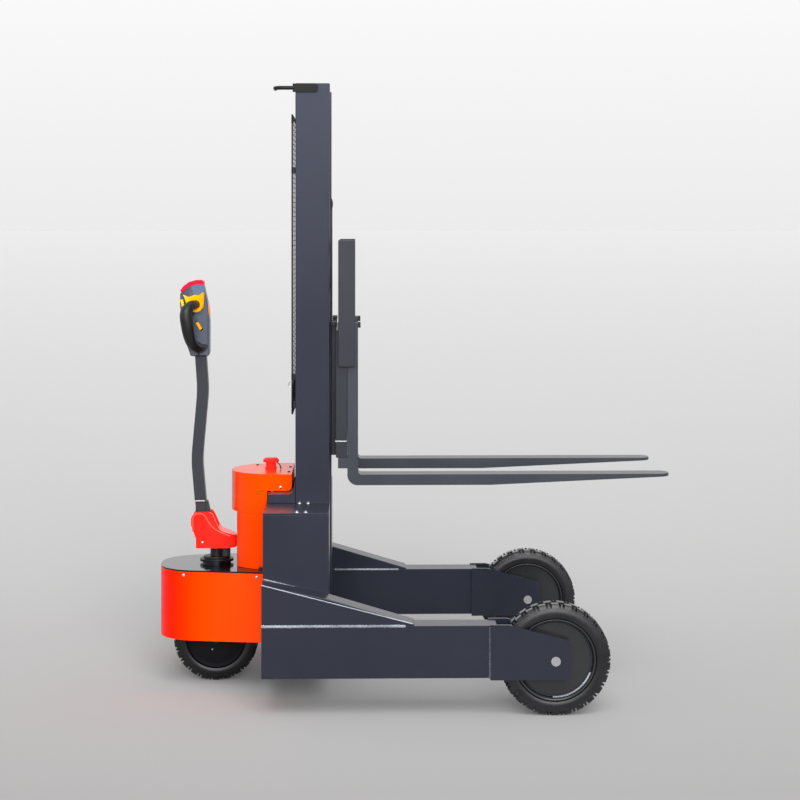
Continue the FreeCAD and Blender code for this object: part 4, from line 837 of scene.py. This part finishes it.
def hex_head(across, height):
    """A hexagon bolt head on its washer, facing +Z from the origin."""
    bpy.ops.object.select_all(action="DESELECT")
    bpy.ops.mesh.primitive_cylinder_add(vertices=6, radius=across / OVER_FLATS, depth=height)
    head = bpy.context.object
    edit(head)
    bpy.ops.transform.translate(value=(0, 0, height / 2 + 0.0016))
    leave_edit()
    break_edges(head, height * 0.16, 1)
    rim = across * 0.98
    washer = turned(
        [(0, 0.0018), (across * 0.92, 0.0018), (rim, 0.0010), (rim, -0.0006), (0, -0.0006)],
        (0, 0, 0), (0, 0, 1), 28,
    )
    return joined([head, washer])


def on_skin(node, place):
    """The point of a node's surface that is nearest to a place, and the way that the surface faces there."""
    mesh = NODES[node].data
    corners = [corner.co for corner in mesh.vertices]
    skin = BVHTree.FromPolygons(corners, [face.vertices for face in mesh.polygons])
    point, normal, _, _ = skin.find_nearest(place)
    return point, normal


def mirrored(places):
    """Places on the right side with those opposite them on the left."""
    return places + [(x, -y, z) for x, y, z in places]


def screws(name, node, places, radius, height=0.0032, slot="bright_steel", material=ZINC):
    """Domed screws on a node's surface, at its points nearest to the places."""
    heads = copies_at(pan_head(radius, height), [on_skin(node, place) for place in places])
    add_piece(name, heads, BODY_OF[node], slot, material=material)


def bolts(name, node, places, across):
    """Hexagon bolts on a node's surface, at its points nearest to the places."""
    heads = copies_at(hex_head(across, across * 0.55), [on_skin(node, place) for place in places])
    add_piece(name, heads, BODY_OF[node], "bright_steel", material=ZINC)


def make_fasteners():
    cover_row = [(-0.8685, -0.18, 0.4300), (-0.5912, -0.26, 0.4300)]
    screws("cover_screws", "drive_cover", mirrored(cover_row), 0.0056)
    screws("tiller_cover_screws", "tiller_cover", mirrored([(-0.8035, -0.07, 0.5335)]), 0.0052)
    hood_top = [(-0.468, 0.046, 0.83), (-0.469, -0.104, 0.83), (-0.600, 0.120, 0.83)]
    screws("hood_top_screws", "hood_upper", hood_top, 0.006, slot="black_gloss", material=CASTING)
    screws("hood_side_screws", "hood_upper", mirrored([(-0.4974, -0.20, 0.7626)]), 0.006)
    screws("hub_screw", "drive_hub", mirrored([(-0.7660, -0.06, 0.1200)]), 0.0042)
    lid_rows = [
        (-0.4260, -0.5050, 0.73), (-0.3940, -0.5050, 0.73), (-0.4230, -0.2770, 0.73), (-0.3910, -0.2770, 0.73),
    ]
    bolts("lid_bolts", "box_lids", mirrored(lid_rows), 0.008)
    foot_row = [(-0.5240, -0.2300, 0.73), (-0.4900, -0.2300, 0.73)]
    bolts("foot_bolts", "mast_feet", mirrored(foot_row), 0.009)
    head_rear = mirrored([(-0.8000, -0.05, 1.3050)])
    screws("head_rear_screws", "tiller_head", head_rear, 0.003, 0.001, slot="grip_rubber", material=GRIP)


make_fasteners()


# Small parts: black blocks of painted shade on the roller uprights and fork shanks, the deck's bracket and the
# hook that holds the guard

def make_small_parts():
    shade_blocks = []
    # Painted shade: black blocks on the tops of the roller uprights and the fork shanks, where these lie in
    # shade.
    for side in (LEFT, RIGHT):
        back, front = side * 0.2660, side * 0.2530
        shade_blocks.append(block((-0.3055, back - 0.0120, 1.3800), (-0.2865, back + 0.0120, 1.3952), 0.0015))
        shade_blocks.append(block((-0.2236, front - 0.0124, 1.3725), (-0.1944, front + 0.0124, 1.3936), 0.0015))
    add_piece("upright_shade_blocks", joined(shade_blocks), "carriage", "grip_rubber")
    strap = block((-0.5790, -0.2315, 0.4540), (-0.5530, -0.2200, 0.4690), 0.0015)
    latch = block((-0.5745, -0.2335, 0.4570), (-0.5665, -0.2220, 0.4665), 0.0012)
    add_piece("deck_bracket", joined([strap, latch]), "chassis", "dark_machine")
    bend = [(-0.4560, 1.1500), (-0.4640, 1.1480), (-0.4665, 1.1580), (-0.4635, 1.1680), (-0.4560, 1.1700)]
    hook = swept([(x, -0.2490, z) for x, z in bend], 0.004, 0.004)
    add_piece("guard_hook", hook, "chassis", "bright_steel", material=ZINC)


make_small_parts()


# Chains: rows of link plates along each strand

LINK_PITCH = 0.0159
LINK_WIDTH = 0.011
LINK_THICK = 0.0036
LINK_ROWS = (-0.0063, -0.0021, 0.0021, 0.0063)


def link_side(x, y, low):
    """A link plate seen from the side: two round ends and a waist."""
    half = LINK_WIDTH / 2
    length = LINK_PITCH * 0.94
    shares = [(0.5, 0.0), (1.0, 0.18), (0.72, 0.5), (1.0, 0.82), (0.5, 1.0)]
    outline = [(x - half * across, y, low + length * up) for across, up in shares]
    outline += [(x + half * across, y, low + length * up) for across, up in reversed(shares)]
    return plate(outline, (0, LINK_THICK, 0))


def make_chain(node):
    """Both strands of a chain as link plates, one piece tied to no body; on the machine each hangs from the
    crosshead and another body holds its foot.
    """
    low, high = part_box(node)
    x = (low.x + high.x) / 2
    strands = []
    for side in (LEFT, RIGHT):
        middle = side * (high.y - 0.008)
        for row, offset in enumerate(LINK_ROWS):
            start = low.z + (LINK_PITCH / 2 if row % 2 else 0)
            link = link_side(x, middle + offset - LINK_THICK / 2, start)
            strands.append(repeated(link, (0, 0, LINK_PITCH), int((high.z - start) / LINK_PITCH)))
    chain = joined(strands)
    chain.name = chain.data.name = node + "_links"
    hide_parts(node)
    wear(chain, CHAIN)
    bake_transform(chain)


make_chain("chain_front")
make_chain("chain_back")


# Welds, painted edge highlights and small fittings on the frame and the tiller

LEG_OUTER, LEG_INNER = 0.634, 0.524
LEG_TOP = 0.327
SLOPE_BACK = Vector((-0.549, 0, 0.475))
SLOPE_FRONT = Vector((-0.003, 0, 0.334))


def on_slope(x):
    """The height of the gusset's sloping top at a place along the machine."""
    share = (x - SLOPE_BACK.x) / (SLOPE_FRONT.x - SLOPE_BACK.x)
    return SLOPE_BACK.z + share * (SLOPE_FRONT.z - SLOPE_BACK.z)


def make_frame_welds():
    beads = []
    plate_beads = []
    for side in (LEFT, RIGHT):
        outer, inner, face = side * LEG_OUTER, side * LEG_INNER, side * (LEG_OUTER + 0.002)
        beads.append(weld((-0.546, outer, LEG_TOP), (-0.035, outer, LEG_TOP), (0, side, 0.2), 0.0055, 3))
        beads.append(weld((-0.300, inner, LEG_TOP), (-0.035, inner, LEG_TOP), (0, -side, 0.2), 0.004, 4))
        foot, end = (-0.545, inner, on_slope(-0.545) + 0.001), (-0.312, inner, on_slope(-0.312) + 0.001)
        beads.append(weld(foot, end, (0, side, 1), 0.005, 5))
        plate_beads.append(weld((0.268, face, 0.142), (0.268, face, 0.325), (-1, side, 0), 0.0065, 6))
    # Both runs of beads wear paint with painted glints.
    add_piece("plate_welds", joined(plate_beads), "chassis", "steel_paint", material=DIM_BEAD_PAINT_AND_GLINTS)
    add_piece("frame_welds", joined(beads), "chassis", "steel_paint", material=BEAD_PAINT_AND_GLINTS)


def make_edge_highlights():
    """The outer edge of each gusset, painted light grey as a highlight where the rounded edge catches the
    light.
    """
    edges = []
    for side in (LEFT, RIGHT):
        skin = side * (LEG_OUTER - 0.0008)
        line = [(x, skin, on_slope(x) - 0.0008) for x in (-0.5485, -0.42, -0.28, -0.15, -0.01)]
        edges.append(swept(line, 0.0034, 0.0034))
    add_piece("gusset_edges", joined(edges), "chassis", "steel_paint", material=EDGE_HIGHLIGHT)


def pair_of_welds(start, end, reach, size, seed):
    """The same bead on both sides, from one (x, z) to another at a reach from the middle plane."""
    beads = []
    for side in (LEFT, RIGHT):
        (x, z), (far_x, far_z) = start, end
        beads.append(weld((x, side * reach, z), (far_x, side * reach, far_z), (0, side, 0), size, seed))
    return joined(beads)


def make_carriage_welds():
    beads = pair_of_welds((-0.2890, 0.9500), (-0.2470, 0.9500), 0.3045, 0.003, 7)
    add_piece("carriage_welds", beads, "carriage", "bright_steel", material=ZINC)


def flange(z, radius, height):
    """A turned disc round the steering axis with broken edges."""
    middle = (DRIVE_AXLE, 0, z + height / 2)
    bpy.ops.object.select_all(action="DESELECT")
    bpy.ops.mesh.primitive_cylinder_add(vertices=64, radius=radius, depth=height, location=middle)
    item = bpy.context.object
    bpy.ops.object.transform_apply(location=True)
    return break_edges(item, 0.0014, 2)


def make_steering_flange():
    rings = [flange(0.4622, 0.064, 0.0045), flange(0.4660, 0.050, 0.0100)]
    add_piece("steering_flange", joined(rings), "steering", "dark_machine")


def make_button_parts():
    """A dark collar under the emergency button and the short lead beside it."""
    collar = block((-0.5560, -0.0140, 0.8116), (-0.5280, 0.0140, 0.8170), 0.002)
    line = [
        (-0.5300, -0.012, 0.8420), (-0.5200, -0.016, 0.8400), (-0.5100, -0.018, 0.8340),
        (-0.5040, -0.018, 0.8240), (-0.5030, -0.018, 0.8130),
    ]
    lead = swept(line, 0.0042, 0.0042)
    add_piece("button_collar_and_lead", joined([collar, lead]), "chassis", "grip_rubber")


# Rim of the tiller cover's dome, from the heel over the top to the nose: (x, z)
DOME_RIM = [
    (-0.8400, 0.5750), (-0.8415, 0.6000), (-0.8420, 0.6220), (-0.8380, 0.6400), (-0.8200, 0.6455),
    (-0.8000, 0.6440), (-0.7880, 0.6280), (-0.7760, 0.6040), (-0.7580, 0.5840), (-0.7300, 0.5700),
    (-0.6980, 0.5580),
]
DOME_HALF = 0.0510


# The rims wear a paler red, a painted highlight where the dome's edge catches the light.
def make_dome_rims():
    rims = [swept([(x, side * DOME_HALF, z) for x, z in DOME_RIM], 0.007, 0.006) for side in (LEFT, RIGHT)]
    add_piece("cover_rims", joined(rims), "steering", "red_plastic", material=RED_HIGHLIGHT)


def make_collar_welds():
    beads = pair_of_welds((-0.8330, 0.6905), (-0.7960, 0.6905), 0.0285, 0.0032, 8)
    add_piece("collar_welds", beads, "tiller", "bright_steel", material=ZINC)


make_frame_welds()
make_edge_highlights()
make_steering_flange()
make_button_parts()
make_carriage_welds()
make_dome_rims()
make_collar_welds()


# Tiller head, its buttons, throttle and hand loops

HEAD_HALF = 0.036
BOW_HALF = 0.027
FRONT_KEY_HALF = 0.024

# Outline of the head seen from the right side: (x, z)
HEAD_OUTLINE = [
    (-0.8935, 1.4930), (-0.8845, 1.4990), (-0.8495, 1.5240), (-0.8216, 1.5290), (-0.8010, 1.5270),
    (-0.7845, 1.4518), (-0.7785, 1.3880), (-0.7785, 1.2640), (-0.7830, 1.2508), (-0.7900, 1.2504),
    (-0.8420, 1.2504), (-0.8510, 1.2520), (-0.8630, 1.2868), (-0.8880, 1.3800), (-0.8935, 1.4500),
]

# The bow-shaped reversing button over the head: (x, z)
BOW_OUTLINE = [
    (-0.8915, 1.4990), (-0.8900, 1.5080), (-0.8800, 1.5215), (-0.8580, 1.5378), (-0.8310, 1.5450),
    (-0.8093, 1.5452), (-0.8010, 1.5390), (-0.7995, 1.5310), (-0.8015, 1.5255),
    (-0.8446, 1.5245), (-0.8636, 1.5140), (-0.8840, 1.4980),
]

# One thumb plate of the throttle with its two ears: (x, z)
THUMB_OUTLINE = [
    (-0.8800, 1.4894), (-0.8640, 1.4825), (-0.8560, 1.4800), (-0.8350, 1.4885), (-0.8200, 1.4862),
    (-0.8030, 1.4985), (-0.7975, 1.4955), (-0.7980, 1.4700), (-0.8005, 1.4420), (-0.8120, 1.4262),
    (-0.8285, 1.4205), (-0.8425, 1.4225), (-0.8450, 1.4300), (-0.8660, 1.4518), (-0.8720, 1.4728),
]


def cut_facet(item, point, normal):
    """Cuts a flat facet: what lies beyond the plane goes, and the cut is closed."""
    edit(item)
    bpy.ops.mesh.bisect(plane_co=point, plane_no=normal, use_fill=True, clear_outer=True)
    leave_edit()


def make_tiller_head():
    head = upright_plate(HEAD_OUTLINE, -HEAD_HALF, 2 * HEAD_HALF)
    for side in (LEFT, RIGHT):
        cut_facet(head, (-0.8650, side * HEAD_HALF, 1.4500), (-0.62, side, 0.10))
    break_edges(head, 0.0045, 3, 20)
    add_piece("tiller_head_shell", head, "tiller", "head_plastic", ["tiller_head"])


# What lies on the head's two sides: (x, z)
PANEL_OUTLINE = [
    (-0.8380, 1.4150), (-0.8440, 1.3800), (-0.8440, 1.3450), (-0.8350, 1.3180), (-0.8200, 1.3030),
    (-0.8030, 1.2960), (-0.7850, 1.2940), (-0.7845, 1.3880), (-0.7890, 1.4180),
]
SEAM_OUTLINE = [
    (-0.8330, 1.4190), (-0.8500, 1.4215), (-0.8560, 1.3800), (-0.8560, 1.3400), (-0.8440, 1.3050),
    (-0.8240, 1.2880), (-0.8000, 1.2810), (-0.7860, 1.2890), (-0.7900, 1.3050), (-0.8200, 1.3800),
]
# A black strip of painted shade in the gap above the head's foot: (x, z)
FOOT_GAP_SHADE_OUTLINE = [
    (-0.8350, 1.2498), (-0.8350, 1.2560), (-0.8232, 1.2560), (-0.8225, 1.2680), (-0.8170, 1.2680),
    (-0.8165, 1.2560), (-0.7900, 1.2560), (-0.7900, 1.2498),
]
# The lighter plate above each panel, a painted highlight on the head's upper facet: (x, z)
LIT_FACET_OUTLINE = [
    (-0.8494, 1.5228), (-0.8216, 1.5275), (-0.8015, 1.5255), (-0.7935, 1.4900), (-0.8395, 1.4880),
]
KEY_OUTLINE = [(-0.8307, 1.3801), (-0.8213, 1.3843), (-0.8058, 1.3580), (-0.8138, 1.3517)]
KEY_FRAME_OUTLINE = [(-0.8333, 1.3843), (-0.8245, 1.3895), (-0.8020, 1.3553), (-0.8111, 1.3470)]
# Keys that wrap round the head's back edge and its front edge: (x, z)
BACK_KEY_OUTLINE = [(-0.8905, 1.4700), (-0.8795, 1.4690), (-0.8750, 1.4470), (-0.8850, 1.4420)]
FRONT_KEY_OUTLINE = [
    (-0.7885, 1.4530), (-0.7830, 1.4530), (-0.7780, 1.4200), (-0.7790, 1.4070), (-0.7860, 1.4070),
]
INLAY = HEAD_HALF - 0.002


def on_both_sides(outline, start, thickness, bevel):
    """The same plate on the head's two sides, outward from a distance off the middle plane."""
    return [upright_plate(outline, side * start, side * thickness, bevel) for side in (LEFT, RIGHT)]


def make_head_panels():
    """A raised panel on each side of the head, the dark seams round it, a black strip of painted shade in the
    gap at its foot, and above it a lighter plate that is a painted highlight on the upper facet.
    """
    panels = on_both_sides(PANEL_OUTLINE, INLAY, 0.0050, 0.0022)
    add_piece("tiller_side_panels", joined(panels), "tiller", "head_plastic")
    dark = on_both_sides(SEAM_OUTLINE, INLAY, 0.0032, 0.0008)
    dark += on_both_sides(FOOT_GAP_SHADE_OUTLINE, INLAY, 0.0030, 0.0006)
    add_piece("tiller_panel_seams_and_gap_shade", joined(dark), "tiller", "grip_rubber")
    lit_facets = on_both_sides(LIT_FACET_OUTLINE, INLAY, 0.0030, 0.0008)
    add_piece("tiller_lit_facets", joined(lit_facets), "tiller", "head_plastic", material=LIT_FACET_PAINT)


def make_bow_button():
    bow = upright_plate(BOW_OUTLINE, -BOW_HALF, 2 * BOW_HALF, 0.0032)
    add_piece("reversing_button", bow, "tiller", "amber_plastic", material=CRIMSON)


def make_throttle():
    plates = on_both_sides(THUMB_OUTLINE, HEAD_HALF - 0.004, 0.020, 0.003)
    add_piece("thumb_throttle", joined(plates), "tiller", "amber_plastic", ["throttle"])


def make_head_switches():
    """Amber keys: one on each side panel in a black frame, one on the back edge and one on the front edge."""
    keys = on_both_sides(KEY_OUTLINE, HEAD_HALF + 0.002, 0.0050, 0.0012)
    keys.append(upright_plate(BACK_KEY_OUTLINE, -HEAD_HALF - 0.002, 2 * HEAD_HALF + 0.004, 0.0016))
    keys.append(upright_plate(FRONT_KEY_OUTLINE, -FRONT_KEY_HALF, 2 * FRONT_KEY_HALF, 0.0016))
    add_piece("tiller_keys", joined(keys), "tiller", "amber_plastic")
    frames = on_both_sides(KEY_FRAME_OUTLINE, HEAD_HALF, 0.0042, 0.0008)
    add_piece("tiller_key_frames", joined(frames), "tiller", "grip_rubber")


# Middle line of a hand loop: (x, reach outward from the middle plane, z)
LOOP_LINE = [
    (-0.8250, 0.030, 1.4500), (-0.8330, 0.062, 1.4520), (-0.8510, 0.104, 1.4480), (-0.8640, 0.124, 1.4210),
    (-0.8570, 0.124, 1.3850), (-0.8520, 0.124, 1.3400), (-0.8400, 0.112, 1.2990), (-0.8180, 0.082, 1.2800),
    (-0.8000, 0.052, 1.2830), (-0.7900, 0.034, 1.2900),
]
LOOP_THICK = 0.042
# Thickness along the loop, as a share of LOOP_THICK
LOOP_FATNESS = [0.82, 0.86, 0.98, 1.16, 1.22, 1.08, 0.96, 0.86, 0.68, 0.34]


def make_hand_loops():
    loops = []
    for side in (LEFT, RIGHT):
        line = [(x, side * reach, z) for x, reach, z in LOOP_LINE]
        loops.append(swept(line, LOOP_THICK, LOOP_THICK, LOOP_FATNESS))
    add_piece("hand_loops", joined(loops), "tiller", "grip_rubber", ["tiller_grips"])


make_tiller_head()
make_head_panels()
make_bow_button()
make_throttle()
make_head_switches()
make_hand_loops()


# Floor, backdrop and light

FLOOR_RADIUS = 600
NEAR_SHADE = srgb(174, 173, 173)
MIDDLE_SHADE = srgb(193, 192, 192)
FAR_SHADE = srgb(250, 250, 250)
# The floor keeps its near shade up to this depth from the studio's front, where the camera stands. Further
# back its shade follows this depth over its own, and has the middle shade where that is MIDDLE_NEARNESS.
NEAREST = 6.05
MIDDLE_NEARNESS = 0.72


def lay_floor():
    """A pale floor that grows paler with distance and so runs into the backdrop; its darker front is painted
    shade, which also takes back some of the front softbox's light on it.
    """
    bpy.ops.object.select_all(action="DESELECT")
    bpy.ops.mesh.primitive_circle_add(vertices=128, radius=FLOOR_RADIUS, fill_type="NGON")
    floor = bpy.context.object
    floor.name = "studio_floor"
    finish = Finish("studio_floor_paint")
    parts = finish.node("SeparateXYZ")
    finish.link(finish.place, parts.inputs["Vector"])
    depth = finish.node("Math", operation="ADD")
    depth.inputs[1].default_value = -CAMERA_PLACE[1]
    finish.link(parts.outputs["Y"], depth.inputs[0])
    front = finish.node("Math", operation="MAXIMUM")
    front.inputs[1].default_value = NEAREST
    finish.link(depth.outputs["Value"], front.inputs[0])
    nearness = finish.node("Math", operation="DIVIDE")
    nearness.inputs[0].default_value = NEAREST
    finish.link(front.outputs["Value"], nearness.inputs[1])
    stops = [(0.0, FAR_SHADE), (MIDDLE_NEARNESS, MIDDLE_SHADE), (1.0, NEAR_SHADE)]
    finish.colour(finish.ramp(nearness.outputs["Value"], stops))
    finish.set(Roughness=0.85, Specular_IOR_Level=0.0)
    wear(floor, finish.material)


HORIZON_SHADE = srgb(236, 236, 236)
# How high above the horizon the backdrop is white, as a share of straight up
WHITE_FROM = 0.16
FILL_STRENGTH = 0.5


def light_world():
    """Soft light from all round; seen directly or mirrored, the backdrop is nearly white."""
    world = bpy.data.worlds.new("studio")
    bpy.context.scene.world = world
    world.use_nodes = True
    tree = world.node_tree
    tree.nodes.clear()
    output = tree.nodes.new("ShaderNodeOutputWorld")
    rays = tree.nodes.new("ShaderNodeLightPath")
    place = tree.nodes.new("ShaderNodeTexCoord")
    parts = tree.nodes.new("ShaderNodeSeparateXYZ")
    tree.links.new(place.outputs["Generated"], parts.inputs["Vector"])
    rise = tree.nodes.new("ShaderNodeMapRange")
    rise.inputs["From Max"].default_value = WHITE_FROM
    tree.links.new(parts.outputs["Z"], rise.inputs["Value"])
    shade = tree.nodes.new("ShaderNodeMix")
    shade.data_type = "RGBA"
    shade.inputs["A"].default_value = HORIZON_SHADE
    shade.inputs["B"].default_value = WHITE
    tree.links.new(rise.outputs["Result"], shade.inputs["Factor"])
    seen = tree.nodes.new("ShaderNodeBackground")
    tree.links.new(shade.outputs["Result"], seen.inputs["Color"])
    fill = tree.nodes.new("ShaderNodeBackground")
    fill.inputs["Color"].default_value = WHITE
    fill.inputs["Strength"].default_value = FILL_STRENGTH
    looking = tree.nodes.new("ShaderNodeMath")
    looking.operation = "MAXIMUM"
    tree.links.new(rays.outputs["Is Camera Ray"], looking.inputs[0])
    tree.links.new(rays.outputs["Is Glossy Ray"], looking.inputs[1])
    choice = tree.nodes.new("ShaderNodeMixShader")
    tree.links.new(looking.outputs["Value"], choice.inputs["Fac"])
    tree.links.new(fill.outputs["Background"], choice.inputs[1])
    tree.links.new(seen.outputs["Background"], choice.inputs[2])
    tree.links.new(choice.outputs["Shader"], output.inputs["Surface"])


def add_sun(name, strength, softness, turn):
    data = bpy.data.lights.new(name, "SUN")
    data.energy = strength
    data.angle = math.radians(softness)
    lamp = bpy.data.objects.new(name, data)
    lamp.rotation_euler = [math.radians(angle) for angle in turn]
    bpy.context.collection.objects.link(lamp)


# Opening angle of the lamps' grids, which keep their light off the floor beneath them
BEAM = math.radians(62)


def add_softbox(name, power, size, place, target, shine):
    """A large soft lamp that faces the machine: either it lights it or it only shines in its paint."""
    data = bpy.data.lights.new(name, "AREA")
    data.shape = "RECTANGLE"
    data.size, data.size_y = size
    data.energy = power
    data.spread = BEAM
    lamp = bpy.data.objects.new(name, data)
    lamp.location = place
    lamp.rotation_euler = (Vector(target) - Vector(place)).to_track_quat("-Z", "Y").to_euler()
    lamp.visible_camera = False
    lamp.visible_glossy = shine
    lamp.visible_diffuse = not shine
    bpy.context.collection.objects.link(lamp)


lay_floor()
light_world()
add_sun("key_light", strength=1.6, softness=40, turn=(40, 0, 6))
add_softbox(
    "front_softbox", power=206, size=(7, 4), place=(0.6, -11.0, 3.0), target=(-0.2, 0, 1.0), shine=False
)
add_softbox(
    "shine_softbox", power=84, size=(14, 5), place=(0.6, -11.0, 4.8), target=(-0.2, 0, 1.4), shine=True
)

bpy.context.scene.view_settings.view_transform = "Standard"
